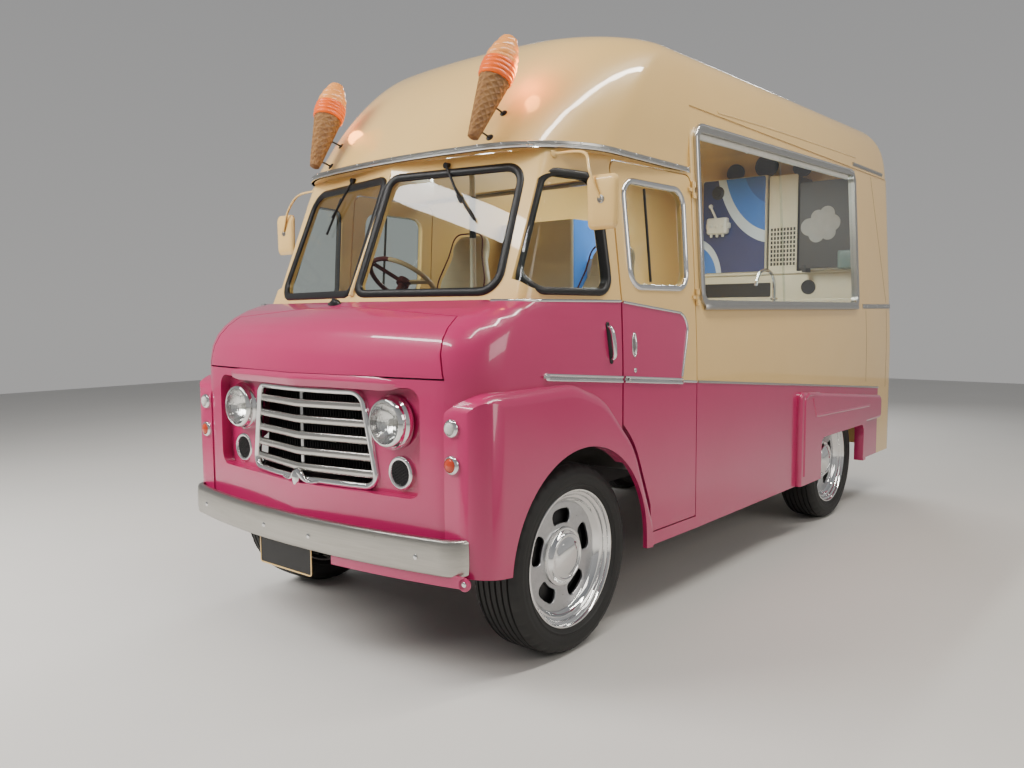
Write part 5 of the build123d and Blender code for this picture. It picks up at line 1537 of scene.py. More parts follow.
def rail_line():
    """Points round the cab on the rail, from the left door round the nose to the right door."""
    low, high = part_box("drip_rail")
    z = (low.z + high.z) / 2
    centre = Vector((0.9, 0, z))
    path, outs = [], []
    for i in range(181):
        q = math.radians(94) - math.radians(188) * i / 180
        far = centre + Vector((math.cos(q), math.sin(q), 0)) * 3
        hit = cast(tree_rail, far, centre - far)
        if hit:
            path.append(hit[0])
            outs.append(Vector((hit[1].x, hit[1].y, 0)).normalized())
    return path, soft(outs, 4)


def rail_parts():
    """The rail's upper and lower beads and the rivets between them."""
    path, outs = rail_line()
    upper = [
        (-0.013, -0.012), (-0.013, 0.003), (-0.010, 0.0065), (-0.004, 0.0075), (0.000, 0.004),
        (0.002, -0.012),
    ]
    lower = [
        (0.003, -0.012), (0.003, 0.000), (0.0045, 0.002), (0.014, 0.002), (0.016, 0.000), (0.016, -0.012),
    ]
    rivets = []
    run = 0.0
    for i in range(1, len(path)):
        run += (path[i] - path[i - 1]).length
        if run > 0.115:
            run = 0.0
            for rise in (0.0095, -0.0095):
                place = path[i] + outs[i] * 0.002 + Vector((0, 0, rise))
                rivets.append(screw(place, outs[i], 0.0045, 0.0022))
    return sweep(path, outs, upper, False), sweep(path, outs, lower, False), join_data(rivets)


upper_rail, lower_rail, rail_rivets = rail_parts()
put("drip_rail_upper", upper_rail, "chrome")
put("drip_rail_lower", lower_rail, "satin")
put("drip_rail_rivets", rail_rivets, "chrome")

# Handles, pulls, hinges and seams on the sides
SEAM = [(-0.0018, -0.004), (-0.0018, 0.0006), (0.0018, 0.0006), (0.0018, -0.004)]
FLAT = [
    (-0.017, -0.003), (-0.017, 0.0025), (-0.0145, 0.0042), (0.0145, 0.0042), (0.017, 0.0025),
    (0.017, -0.003),
]
SPLIT_X = 1.271


def side_line(points, profile, names, side, step=0.03):
    tree = tree_of(*names)
    path, outs = on_side(tree, open_line(points, step), side)
    return sweep(path, soft(outs), profile, False)


for side, tag in SIDES:
    tree_fix = tree_of("cab_sides")
    tree_door = tree_of("door_" + tag)
    # grab handle ahead of the door
    top = cast(tree_fix, (1.672, side * 3, 1.430), (0, -side, 0))
    foot = cast(tree_fix, (1.652, side * 3, 1.288), (0, -side, 0))
    out = Vector((0, side, 0))
    base = rounded([(-0.013, -0.095), (0.013, -0.095), (0.013, 0.095), (-0.013, 0.095)], 0.012, 0.004)
    middle = top[0].lerp(foot[0], 0.5)
    up = (top[0] - foot[0]).normalized()
    base_data = oriented(cut_plate([base], 0.005, 0.0018), middle + out * 0.0005, up.cross(out) * -1, up)
    put("grab_plate_" + tag, base_data, "plastic")
    bow = [
        top[0] + out * 0.002, top[0] + out * 0.014 - up * 0.004, top[0] + out * 0.022 - up * 0.022,
        middle + out * 0.025,
    ]
    bow += [foot[0] + out * 0.022 + up * 0.022, foot[0] + out * 0.014 + up * 0.004, foot[0] + out * 0.002]
    bow = curved(bow, 6)
    n = len(bow)
    radii = [0.0075 + 0.0035 * math.sin(math.pi * i / (n - 1)) for i in range(n)]
    put("grab_handle_" + tag, tube(bow, radii, 16), "chrome")
    # oval pull and lock on the door
    spot, away = cast(tree_door, (1.462, side * 3, 1.345), (0, -side, 0))
    across, up = facing(away)
    turns = [(math.cos(2 * math.pi * i / 48), math.sin(2 * math.pi * i / 48)) for i in range(48)]
    oval = [(0.021 * c, 0.058 * s) for c, s in turns]
    hole = [(0.014 * c, 0.050 * s) for c, s in turns]
    ring = oriented(cut_plate([oval, hole], 0.008, 0.0032), spot + away * 0.001, across, up)
    dish = [(x * 0.96, y * 0.97) for x, y in hole]
    paddle = oriented(cut_plate([dish], 0.003, 0.001), spot + away * 0.0006, across, up)
    grip_line = [(0.003, 0.038), (0.010, 0.012), (0.010, -0.018), (0.004, -0.040)]
    lever = tube(curved([spot + away * rise + up * along for rise, along in grip_line], 5), 0.0052, 12)
    put("door_pull_" + tag, join_data([ring, lever]), "chrome", "door_" + tag)
    put("door_pull_dish_" + tag, paddle, "satin", "door_" + tag)
    hit = cast(tree_door, (1.457, side * 3, 1.226), (0, -side, 0))
    lock = [
        (0.0001, -0.002), (0.011, -0.002), (0.011, 0.003), (0.008, 0.005), (0.0035, 0.005), (0.003, 0.003),
        (0.0001, 0.003),
    ]
    put("door_lock_" + tag, stud(lock, *hit), "chrome", "door_" + tag)
    # strip ends and fastener
    hit = cast(tree_fix, (0.230 + SHIFT, side * 3, line_z(2.115) - 0.002), (0, -side, 0))
    strip_cap = [(0.017, -0.003), (0.0165, 0.005), (0.0145, 0.0090), (0.010, 0.0104), (0.0001, 0.0108)]
    put("strip_end_" + tag, stud(strip_cap, *hit, 32), "chrome")
    hit = cast(tree_fix, (0.252 + SHIFT, side * 3, line_z(2.137) - 0.002), (0, -side, 0))
    put("strip_screw_" + tag, screw(hit[0] + hit[1] * 0.008, hit[1], 0.006, 0.003), "satin")
    hit = cast(tree_door, (1.512, side * 3, line_z(1.512)), (0, -side, 0))
    put("strip_catch_" + tag, screw(hit[0] + hit[1] * 0.009, hit[1], 0.009, 0.004), "satin", "door_" + tag)
    # window split of the door, rubber inside the frame
    glass_tree = tree_of("door_glass_" + tag)
    path, outs = on_side(glass_tree, open_line([(SPLIT_X, 1.640), (SPLIT_X, 2.085)]), side)
    put(
        "door_window_split_" + tag,
        sweep(path, outs, dome_profile(0.013, 0.006, 0.004), False),
        "rubber",
        "door_" + tag,
    )
    ring = side_ring(tree_door, DOOR_WINDOW, 0.072, -0.008, dome_profile(0.012, 0.004, 0.006), side)
    put("door_window_rubber_" + tag, ring, "rubber", "door_" + tag)
    # screws beside the hinges' knuckles
    for number, z in enumerate((1.570, 2.120)):
        hit = cast(tree_of("door_surround", "body_side_" + tag), (0.822, side * 3, z), (0, -side, 0))
        if hit:
            spot = hit[0] + hit[1] * 0.0008
            heads = [screw(spot + Vector((dx, 0, 0)), hit[1], 0.0042, 0.002) for dx in (-0.008, 0.008)]
            put(f"hinge_screws_{number}_{tag}", join_data(heads), "satin")

# The box's sides and rear corners
CREASE_LINE = [(0.540, 2.566), (0.0, 2.588), (-0.60, 2.606), (-1.30, 2.622), (-1.72, 2.630)]
CREASE_SECTION = [(-0.011, -0.004), (-0.006, 0.0022), (0.0, 0.0042), (0.004, 0.0030), (0.009, -0.004)]
GUTTER_SECTION = [
    (-0.013, -0.004), (-0.013, 0.005), (-0.009, 0.009), (0.002, 0.009), (0.006, 0.004), (0.012, 0.003),
    (0.012, -0.004),
]
SWAGE_LINE = [(-0.700, 0.918), (-0.760, 0.800), (-1.30, 0.787), (-1.868, 0.772)]
SWAGE_SECTION = [(-0.012, -0.003), (-0.006, 0.004), (0.0, 0.0062), (0.006, 0.004), (0.012, -0.003)]
FOLD_LINE = [(-0.560, 0.420), (-0.560, 0.930), (-0.640, 0.955), (-2.06, 0.905)]
FOLD_SECTION = [(-0.016, -0.004), (-0.010, 0.004), (0.0, 0.0075), (0.010, 0.004), (0.016, -0.004)]

for side, tag in SIDES:
    names = ("body_side_" + tag, "rear_panel")
    seams = []
    for points in (
        [(-2.074, 2.560), (-2.390, 1.560)],
        [(-2.390, 1.500), (-2.376, 0.880)],
        [(-1.876, 1.500), (-1.884, 0.955)],
    ):
        seams.append(side_line(points, SEAM, names, side))
    put("side_seams_" + tag, join_data(seams), "seam")
    strap = side_line([(-1.800, 1.529), (-2.560, 1.531)], FLAT, names, side)
    heads = []
    tree = tree_of(*names)
    for x in (-1.822, -1.905, -2.15, -2.36, -2.42):
        hit = cast(tree, (x, side * 3, 1.5295), (0, -side, 0))
        if hit:
            heads.append(screw(hit[0] + hit[1] * 0.004, hit[1], 0.0065, 0.003))
    put("belt_strap_" + tag, strap, "satin")
    put("belt_screws_" + tag, join_data(heads), "chrome")
    crease = side_line(CREASE_LINE, CREASE_SECTION, ("roof", "body_side_" + tag), side)
    put("header_crease_" + tag, crease, "cream")
    gutter = side_line([(-1.640, 2.575), (-2.34, 2.575)], GUTTER_SECTION, ("roof", *names), side)
    put("rear_gutter_" + tag, gutter, "satin")

# rear fender's pressed panel: a raised line along its top and a fold over the arch
for side, tag in SIDES:
    swage = side_line(SWAGE_LINE, SWAGE_SECTION, ("rear_fenders",), side, 0.02)
    rim_line = side_line(FOLD_LINE, FOLD_SECTION, ("rear_fenders",), side, 0.02)
    put("fender_swage_" + tag, join_data([swage, rim_line]), "pink")

# Mirrors
MIRROR_PLANE_Y = 1.090
MIRROR_Z = 1.950
MIRROR_BACK = 0.030


def mirror_parts(side):
    """A dished housing with its glass behind, a bolt, and a rod arm from the cab's top corner."""
    low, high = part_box("mirrors")
    outline = rounded([(-0.072, -0.112), (0.072, -0.112), (0.078, 0.112), (-0.078, 0.112)], 0.028, 0.006)
    rows = 10
    verts = []
    n = len(outline)
    x_mid = (low.x + high.x) / 2 - MIRROR_BACK
    y_mid = side * MIRROR_PLANE_Y
    z_mid = MIRROR_Z
    for back in (0, 1):
        for i in range(rows + 1):
            s = 1 - i / rows
            depth = -0.004 if back else 0.014 * (1 - s ** 4) ** 0.5 + 0.004
            for p in outline:
                verts.append(Vector((x_mid + depth, y_mid + side * p[0] * s, z_mid + p[1] * s)))
    faces = grid(rows + 1, n)
    base = (rows + 1) * n
    for j in range(n):
        k = (j + 1) % n
        faces.append((j, k, base + k, base + j))
    faces.append(tuple(base + j for j in range(n)))
    shell = (verts, faces)
    inner = [(p[0] * 0.93, p[1] * 0.93) for p in outline]
    glass = oriented(
        cut_plate([inner], 0.003, 0.001), (x_mid - 0.005, y_mid, z_mid), (0, side, 0), (0, 0, 1)
    )
    bolt_profile = [(0.012, -0.002), (0.012, 0.004), (0.0085, 0.009), (0.0001, 0.010)]
    bolt = stud(bolt_profile, (x_mid + 0.017, y_mid, z_mid + 0.01), (1, 0, 0), 24)
    ball_profile = [(0.017, -0.001), (0.017, 0.003), (0.012, 0.005), (0.0001, 0.005)]
    ball = stud(ball_profile, (x_mid + 0.0165, y_mid, z_mid + 0.01), (1, 0, 0), 24)
    start = cast(tree_shell, (1.870, side * 3, 2.180), (0, -side, 0))
    arm = [start[0], (1.872, side * 0.985, 2.165), (x_mid + 0.022, side * 1.035, 2.085)]
    arm += [(x_mid + 0.024, side * 1.066, 2.010), (x_mid + 0.020, y_mid, 1.960)]
    rod = tube(curved(arm, 8), 0.0065, 12)
    foot = stud([(0.020, -0.004), (0.020, 0.004), (0.013, 0.008), (0.0001, 0.009)], *start, 24)
    return shell, glass, join_data([bolt, ball]), join_data([rod, foot])


shell_data, glass_data, mirror_bolt_data, arm_data = both_sides(mirror_parts)
housing = put("mirror_housings", shell_data, "cream")
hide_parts("mirrors")
put("mirror_glasses", glass_data, "chrome")
put("mirror_bolts", mirror_bolt_data, "satin")
put("mirror_arms", arm_data, "cream")

# Pressed panels
def smooth_skin(node, body, mat, slot, limit=30):
    """The panel's own form in one welded mesh, so that the light runs over its rows unbroken."""
    src = nodes[node].data
    verts = [v.co.copy() for v in src.vertices]
    obj = add(node + "_skin", verts, [tuple(p.vertices) for p in src.polygons], mat, body, slot)
    bm = bmesh.new()
    bm.from_mesh(obj.data)
    bmesh.ops.remove_doubles(bm, verts=bm.verts, dist=0.0003)
    edge_limit = math.radians(limit)
    for f in bm.faces:
        f.smooth = True
    for e in bm.edges:
        e.smooth = len(e.link_faces) == 2 and e.calc_face_angle(0) < edge_limit
    bm.to_mesh(obj.data)
    bm.free()
    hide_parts(node)
    return obj


smooth_skin("bonnet", "bonnet", M["pink"], "pink_paint")
for panel in ("nose_panel", "cab_sides", "front_fenders"):
    smooth_skin(panel, "root", M["pink"], "pink_paint")

# Seats
SEATS = ((0.520, 1.030, "left"), (-0.520, 1.150, "right"))
SEAT_REAR_X = -0.830 + SHIFT


def seat_cover(name, base_z):
    """Cream leather with a curved maroon part below, sewn channels across the middle."""
    n = Nodes(name)
    _, y, z = n.xyz()
    tone = n.noise(9.0)
    cream = n.mix(tone, srgb("C2B595"), srgb("D2C6A6"))
    maroon = n.mix(tone, srgb("571322"), srgb("6B1B2C"))
    off = n.math("SUBTRACT", n.math("ABSOLUTE", y), 0.520)
    line = n.math("MULTIPLY_ADD", n.math("MULTIPLY", off, off), -3.2, base_z + 0.42)
    mask = n.math("LESS_THAN", z, line)
    n.colour(n.mix(mask, cream, maroon))
    cells = n.tree.nodes.new("ShaderNodeTexVoronoi")
    cells.inputs["Scale"].default_value = 260
    n.link(n.coord, cells.inputs["Vector"])
    sew = n.math("POWER", n.math("ABSOLUTE", n.math("SINE", n.math("MULTIPLY", z, 52.0))), 0.35)
    height = n.math("MULTIPLY_ADD", cells.outputs["Distance"], 0.05, sew)
    n.rough(n.spread(n.noise(22.0), 0.38, 0.52))
    n.bump(height, 0.004, 0.5)
    return n.mat


def crowned(outline, thick, place, across, up, rows=10):
    """A closed pad over a 2-D outline, full in the middle and thin at its edge."""
    n = len(outline)
    a = Vector(across).normalized()
    b = Vector(up).normalized()
    out = a.cross(b).normalized()
    cx = sum(p[0] for p in outline) / n
    cy = sum(p[1] for p in outline) / n
    verts, faces = [], []
    for face in (1, -1):
        for i in range(rows + 1):
            s = math.sin(math.pi / 2 * (1 - i / rows))
            rise = thick / 2 * (1 - s ** 5) ** 0.5
            for p in outline:
                across_at, up_at = cx + (p[0] - cx) * s, cy + (p[1] - cy) * s
                verts.append(Vector(place) + a * across_at + b * up_at + out * rise * face)
    ring = (rows + 1) * n
    for face in (0, 1):
        for i in range(rows - 1):
            for j in range(n):
                k = (j + 1) % n
                row, after = face * ring + i * n, face * ring + (i + 1) * n
                quad = (row + j, row + k, after + k, after + j)
                faces.append(quad if face == 0 else tuple(reversed(quad)))
        cap = [face * ring + (rows - 1) * n + j for j in range(n)]
        faces.append(tuple(cap) if face == 0 else tuple(reversed(cap)))
    for j in range(n):
        k = (j + 1) % n
        faces.append((j, ring + j, ring + k, k))
    return verts, faces


def inflated(obj, voxel, pressure, cap):
    """The pad remeshed evenly, swelled by a cloth simulation, its result held within a cap."""
    mesh_mod = obj.modifiers.new("even", "REMESH")
    mesh_mod.mode = "VOXEL"
    mesh_mod.voxel_size = voxel
    depsgraph = bpy.context.evaluated_depsgraph_get()
    even = bpy.data.meshes.new_from_object(obj.evaluated_get(depsgraph))
    obj.modifiers.clear()
    mats = list(obj.data.materials)
    obj.data = even
    obj.data.materials.clear()
    for m in mats:
        obj.data.materials.append(m)
    start = [v.co.copy() for v in obj.data.vertices]
    cloth = obj.modifiers.new("pad", "CLOTH")
    cloth.settings.use_pressure = True
    cloth.settings.uniform_pressure_force = pressure
    cloth.settings.effector_weights.gravity = 0
    cloth.settings.quality = 5
    scene = bpy.context.scene
    for frame_number in range(1, 21):
        scene.frame_set(frame_number)
    depsgraph = bpy.context.evaluated_depsgraph_get()
    grown_mesh = bpy.data.meshes.new_from_object(obj.evaluated_get(depsgraph))
    ends = [v.co.copy() for v in grown_mesh.vertices]
    obj.modifiers.clear()
    bpy.data.meshes.remove(grown_mesh)
    scene.frame_set(1)
    for v, a, b in zip(obj.data.vertices, start, ends):
        step = b - a
        if step.length > cap:
            step = step.normalized() * cap
        v.co = a + step
    smooth_mod = obj.modifiers.new("even_out", "SMOOTH")
    smooth_mod.iterations = 4
    depsgraph = bpy.context.evaluated_depsgraph_get()
    final = bpy.data.meshes.new_from_object(obj.evaluated_get(depsgraph))
    obj.modifiers.clear()
    obj.data = final
    obj.data.polygons.foreach_set("use_smooth", [True] * len(obj.data.polygons))
    return obj


def piping(outline, place, across, up, radius, offset):
    a = Vector(across).normalized()
    b = Vector(up).normalized()
    out = a.cross(b).normalized()
    return tube([Vector(place) + a * p[0] + b * p[1] + out * offset for p in outline], radius, 8, True)


BACK_OUTLINE = [
    (-0.205, 0.0), (0.205, 0.0), (0.222, 0.20), (0.215, 0.40), (0.155, 0.56), (0.128, 0.715),
    (-0.128, 0.715), (-0.155, 0.56), (-0.215, 0.40), (-0.222, 0.20),
]
BACK_RADII = (0.06, 0.06, 0.15, 0.18, 0.16, 0.07, 0.07, 0.16, 0.18, 0.15)
SEAT_OUTLINE = [(-0.205, -0.20), (0.205, -0.20), (0.212, 0.21), (-0.212, 0.21)]
PAD_GRAIN = 0.010
PAD_PRESSURE = 4.0
PAD_SWELL = 0.022
first = {}
for y, base_z, tag in SEATS:
    cover = seat_cover("seat_cover_" + tag, base_z)
    back_lean = Vector((-0.255, 0, 0.967)).normalized()
    back_place = Vector((SEAT_REAR_X + 0.028, y, base_z + 0.155))
    seat_place = Vector((SEAT_REAR_X + 0.245, y, base_z + 0.072))
    back_outline = rounded(BACK_OUTLINE, BACK_RADII, 0.012)
    seat_outline = rounded(SEAT_OUTLINE, 0.07, 0.012)
    if not first:
        back_pad = add(
            "seat_back_pad_" + tag,
            *crowned(back_outline, 0.112, back_place, (0, 1, 0), back_lean),
            cover,
            "root",
            "seat_leather",
        )
        seat_pad = add(
            "seat_cushion_pad_" + tag,
            *crowned(seat_outline, 0.118, seat_place, (0, 1, 0), (-1, 0, 0)),
            cover,
            "root",
            "seat_leather",
        )
        inflated(back_pad, PAD_GRAIN, PAD_PRESSURE, PAD_SWELL)
        inflated(seat_pad, PAD_GRAIN, PAD_PRESSURE, PAD_SWELL)
        first = {"back": back_pad, "seat": seat_pad, "y": y, "z": base_z}
    else:
        move = Vector((0, y - first["y"], base_z - first["z"]))
        pads = []
        for kind, label in (("back", "seat_back_pad_"), ("seat", "seat_cushion_pad_")):
            data = first[kind].data
            verts = [v.co + move for v in data.vertices]
            faces = [tuple(p.vertices) for p in data.polygons]
            pads.append(add(label + tag, verts, faces, cover, "root", "seat_leather"))
        back_pad, seat_pad = pads
    if tag == "left":
        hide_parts("seat_backs")
        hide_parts("seat_cushions")
    inner = [(p.x * 0.90, 0.36 + (p.y - 0.36) * 0.93) for p in back_outline]
    welt = piping(inner, back_place, (0, 1, 0), back_lean, 0.0045, 0.045)
    seat_welt = piping(
        [(p.x * 0.93, p.y * 0.93) for p in seat_outline], seat_place, (0, 1, 0), (-1, 0, 0), 0.0045, 0.050
    )
    put("seat_piping_" + tag, join_data([welt, seat_welt]), "seat_maroon")

# Cab fittings
def steering_wheel_with_painted_light():
    """The steering wheel: its own dark maroon on one side, and beige painted light on the other."""
    n = Nodes("steering_painted_light")
    _, y, _ = n.xyz()
    # Painted light: the wheel is maroon, and its side at y above -0.44 is painted beige as lit.
    mask = n.math("LESS_THAN", y, -0.44)
    tone = n.noise(20.0)
    painted_light_beige = n.mix(tone, srgb("A58F6A"), srgb("B8A37D"))
    maroon = n.mix(tone, srgb("4A1A1C"), srgb("5C2426"))
    n.colour(n.mix(mask, painted_light_beige, maroon))
    n.rough(n.spread(tone, 0.3, 0.42))
    n.bump(n.noise(220.0), 0.0006, 0.3)
    return n.mat


dress("steering_wheel", steering_wheel_with_painted_light())
pole = tube([(1.420, -0.060, 0.74), (1.420, -0.060, 2.46)], 0.016, 20)
collar_profile = [(0.0001, -0.002), (0.034, -0.002), (0.034, 0.004), (0.022, 0.014), (0.0001, 0.016)]
collar = stud(collar_profile, (1.420, -0.060, 0.735), (0, 0, 1))
put("grab_pole", join_data([pole, collar]), "panel", slot="cream_paint")
grip = tube([(1.420, -0.060, 1.90), (1.420, -0.060, 2.12)], 0.0185, 20)
put("grab_pole_grip", grip, "plastic")


def round_vent(place, direction, radius, rings=4):
    """A dark round grille: rim, dished face and rings."""
    profile = [(radius, -0.004), (radius, 0.004), (radius * 0.95, 0.010), (radius * 0.88, 0.008)]
    for i in range(rings):
        r = radius * (0.80 - 0.17 * i)
        profile += [(r, 0.001), (r - radius * 0.05, 0.005), (r - radius * 0.10, 0.001)]
    profile.append((0.0001, 0.001))
    return stud(profile, place, direction, 48)


CAMERA = (4.8634, 3.0740, 1.4940)
tree_inside = tree_of("roof", "rear_panel", "rear_door", "body_side_right", "cab_upper", "cab_sides")


def sighted(target, tree, skip=0.0):
    """The first inner surface on the line from the camera through a point, past skip metres."""
    eye = Vector(CAMERA)
    ray = (Vector(target) - eye).normalized()
    found, normal, _, _ = tree.ray_cast(eye + ray * skip, ray)
    if found is None:
        return None
    if normal.dot(ray) > 0:
        normal = -normal
    return found, normal


def seen_disc(target, radius, tree, skip, around=48):
    """A round speaker grille that follows the wall, round as it's seen from the camera."""
    eye = Vector(CAMERA)
    ray = (Vector(target) - eye).normalized()
    u = ray.cross(Vector((0, 0, 1))).normalized()
    v = u.cross(ray)
    steps = [(1.0, 0.0005), (0.995, 0.010), (0.95, 0.014), (0.89, 0.012), (0.86, 0.005)]
    for i in range(5):
        r = 0.80 - 0.155 * i
        steps += [(r, 0.005), (r - 0.05, 0.009), (r - 0.10, 0.005)]
    verts = []
    for share, lift in steps:
        for j in range(around):
            q = 2 * math.pi * j / around
            hit = sighted(Vector(target) + (u * math.cos(q) + v * math.sin(q)) * radius * share, tree, skip)
            verts.append(hit[0] + hit[1] * lift)
    faces = grid(len(steps), around)
    faces.append(tuple((len(steps) - 1) * around + j for j in range(around)))
    return verts, faces


SPEAKERS = (
    ((-2.69, -0.472, 2.787), 0.080),
    ((-2.69, -0.171, 2.817), 0.102),
    ((-2.69, 0.163, 2.770), 0.082),
)
PAST_CAB = 5.5
put(
    "box_speakers",
    join_data([seen_disc(target, radius, tree_inside, PAST_CAB) for target, radius in SPEAKERS]),
    "plastic",
)

# the rear bench, the unit with the blue front beside its louvred cabinet, and the board
bench = [
    panel_box((-2.640, -0.640, 0.70), (-2.330, 0.800, 1.560), 0.010),
    panel_box((-2.640, -0.640, 1.600), (-2.322, 0.800, 1.815), 0.008),
    panel_box((-2.640, -0.660, 1.560), (-2.310, 0.815, 1.602), 0.008),
    panel_box((-2.640, -0.660, 1.815), (-2.306, 0.815, 1.838), 0.008),
]
put("rear_bench", join_data(bench), "panel")
# A black plate on the bench's front: painted shade standing for the inside of a recess.
recess = oblong((-0.315, -0.062), (0.315, 0.062), 0.010, 0.02)
put("bench_recess_painted_shade", upright([recess], 0.004, 0.0015, (-2.3215, -0.275, 1.685)), "core")
put("bench_vent", round_vent((-2.3215, 0.372, 1.700), (1, 0, 0), 0.062), "plastic")
# the unit's sides, foot and top
UNIT = (-0.615, -0.010, 1.838, 2.672)


def unit_front():
    """The unit's front: sweeping fields of blue with a pale band, a plain design of its own."""
    n = Nodes("unit_blue")
    _, y, z = n.xyz()
    u = n.math("DIVIDE", n.math("SUBTRACT", y, UNIT[0]), UNIT[1] - UNIT[0])
    v = n.math("DIVIDE", n.math("SUBTRACT", z, UNIT[2]), UNIT[3] - UNIT[2])

    def ring(cu, cv):
        du = n.math("SUBTRACT", u, cu)
        dv = n.math("SUBTRACT", v, cv)
        return n.math("SQRT", n.math("ADD", n.math("MULTIPLY", du, du), n.math("MULTIPLY", dv, dv)))

    big = ring(1.15, 1.22)
    small = ring(-0.12, -0.05)
    navy = n.mix(n.noise(5.0), srgb("16275E"), srgb("203676"))
    mid = n.mix(n.noise(4.0), srgb("2568C8"), srgb("3780DC"))
    pale = n.mix(n.noise(6.0), srgb("C4D4E6"), srgb("D6E2EE"))
    field = n.mix(n.math("LESS_THAN", big, 0.92), navy, pale)
    field = n.mix(n.math("LESS_THAN", big, 0.80), field, mid)
    field = n.mix(n.math("LESS_THAN", big, 0.52), field, n.mix(0.5, mid, navy))
    field = n.mix(n.math("LESS_THAN", small, 0.44), field, pale)
    field = n.mix(n.math("LESS_THAN", small, 0.36), field, mid)
    n.colour(field)
    n.set(coat_weight=0.6, coat_roughness=0.08)
    n.rough(0.35)
    n.bump(n.noise(60.0), 0.0001, 0.2)
    return n.mat


put(
    "unit_body",
    panel_box((-2.640, UNIT[0] - 0.004, UNIT[2]), (-2.318, UNIT[1] + 0.004, UNIT[3] + 0.006), 0.010),
    "panel",
)
front_plate = oblong((UNIT[0] + 0.008, UNIT[2] + 0.008), (UNIT[1] - 0.008, UNIT[3]), 0.022, 0.03)
add(
    "unit_front",
    *upright([front_plate], 0.008, 0.003, (-2.316, 0, 0)),
    unit_front(),
    "root",
    "machine_blue",
)
head_parts = [
    panel_box((-2.316, -0.545, 2.190), (-2.240, -0.345, 2.335), 0.020),
    panel_box((-2.316, -0.560, 2.235), (-2.262, -0.330, 2.290), 0.014),
]
tap_cap = [(0.018, -0.012), (0.018, 0.000), (0.013, 0.006), (0.0001, 0.007)]
for k in range(3):
    y = -0.500 + 0.055 * k
    head_parts.append(stud(tap_cap, (-2.240, y, 2.262), (1, 0, 0), 24))
    head_parts.append(tube([(-2.262, y, 2.200), (-2.262, y, 2.165)], [0.015, 0.011], 18))
put("unit_head", join_data(head_parts), "white_plastic")
lever = tube(
    curved([(-2.262, -0.455, 2.325), (-2.245, -0.475, 2.385), (-2.238, -0.492, 2.425)], 6), 0.010, 12
)
ball_profile = [
    (0.0001, -0.020), (0.012, -0.016), (0.019, -0.006), (0.020, 0.003), (0.015, 0.014), (0.0001, 0.020),
]
ball = stud(ball_profile, (-2.237, -0.495, 2.437), (0.1, -0.4, 0.9), 20)
put("unit_lever", join_data([lever, ball]), "white_plastic")
knob = [(0.060, -0.002), (0.060, 0.006), (0.052, 0.012), (0.034, 0.014), (0.032, 0.024), (0.0001, 0.026)]
put("unit_knob", stud(knob, (-2.314, -0.462, 2.560), (1, 0, 0), 32), "plastic")
holes = [oblong((-0.125, -0.430), (0.125, 0.430), 0.015)]
for row in range(9):
    for col in range(8):
        y = -0.100 + col * 0.0286
        z = -0.325 + row * 0.037
        holes.append(
            [
                (y - 0.0095, z - 0.013), (y + 0.0095, z - 0.013), (y + 0.0095, z + 0.013),
                (y - 0.0095, z + 0.013),
            ]
        )
put("louvre_body", panel_box((-2.640, 0.000, 1.838), (-2.336, 0.275, 2.640), 0.008), "core")
put("louvre_face", upright(holes, 0.006, 0.0012, (-2.333, 0.138, 2.230)), "panel")
board = oblong((0.335, 1.850), (0.900, 2.560), 0.015)
put("menu_board", upright([board], 0.014, 0.004, (-2.200, 0, 0)), "board")
feet = [
    panel_box((-2.30, y, 1.820), (-2.19, y_end, 1.880), 0.004) for y, y_end in ((0.36, 0.40), (0.82, 0.86))
]
put("menu_board_feet", join_data(feet), "core")
CLOUD = [
    (0.420, 2.190, 0.072), (0.490, 2.268, 0.058), (0.565, 2.290, 0.062), (0.605, 2.215, 0.068),
    (0.575, 2.140, 0.062), (0.480, 2.125, 0.064), (0.520, 2.205, 0.085),
]
blobs = []
for cy, cz, r in CLOUD:
    blobs.append(upright([disc(r, 36)], 0.003, 0.0008, (-2.1915 + 0.0004 * len(blobs), cy, cz)))
put("menu_board_cloud", join_data(blobs), "grey_card")
put("bench_tray", panel_box((-2.32, 0.42, 1.838), (-2.22, 0.66, 1.925), 0.008), "white_plastic")
put("bench_tub", panel_box((-2.33, 0.66, 1.838), (-2.16, 0.88, 1.985), 0.012), "teal")

# swan-neck tap over the counter's sink, ceiling light, blind over the hatch
tap = curved(
    [
        (-1.012, 0.620, 1.500), (-1.012, 0.620, 1.60), (-1.005, 0.620, 1.70), (-0.955, 0.620, 1.762),
        (-0.860, 0.620, 1.782), (-0.765, 0.620, 1.762), (-0.715, 0.620, 1.705), (-0.705, 0.620, 1.672),
    ],
    8,
)
tap_profile = [(0.0001, 0.0), (0.026, 0.0), (0.026, 0.006), (0.016, 0.020), (0.015, 0.050), (0.0001, 0.052)]
tap_foot = stud(tap_profile, (-1.012, 0.620, 1.500), (0, 0, 1))
handles = tube([(-1.060, 0.620, 1.585), (-0.964, 0.620, 1.585)], 0.008, 12)
put("sink_tap", join_data([tube(tap, 0.0115, 16), tap_foot, handles]), "chrome")
roof_inside = cast(tree_of("roof"), (-0.4, 0.30, 1.9), (0, 0, 1))
strip_z = min(2.70, roof_inside[0].z - 0.030)
put(
    "ceiling_light",
    panel_box((-1.30, 0.27, strip_z - 0.018), (-0.10, 0.33, strip_z + 0.012), 0.008),
    "tube_light",
)
put(
    "ceiling_light_tray",
    panel_box((-1.34, 0.25, strip_z + 0.010), (-0.06, 0.35, strip_z + 0.030), 0.006),
    "white_plastic",
)
blind = []
for i in range(41):
    share = i / 40
    x = -1.150 - 2.320 * share + SHIFT
    z = 2.452 + 0.058 * share - 0.036
    blind.append(Vector((x, 0.918, z)))
blind_section = [
    (-0.017, -0.010), (-0.017, 0.004), (-0.009, 0.009), (0.009, 0.009), (0.017, 0.004), (0.017, -0.010),
]
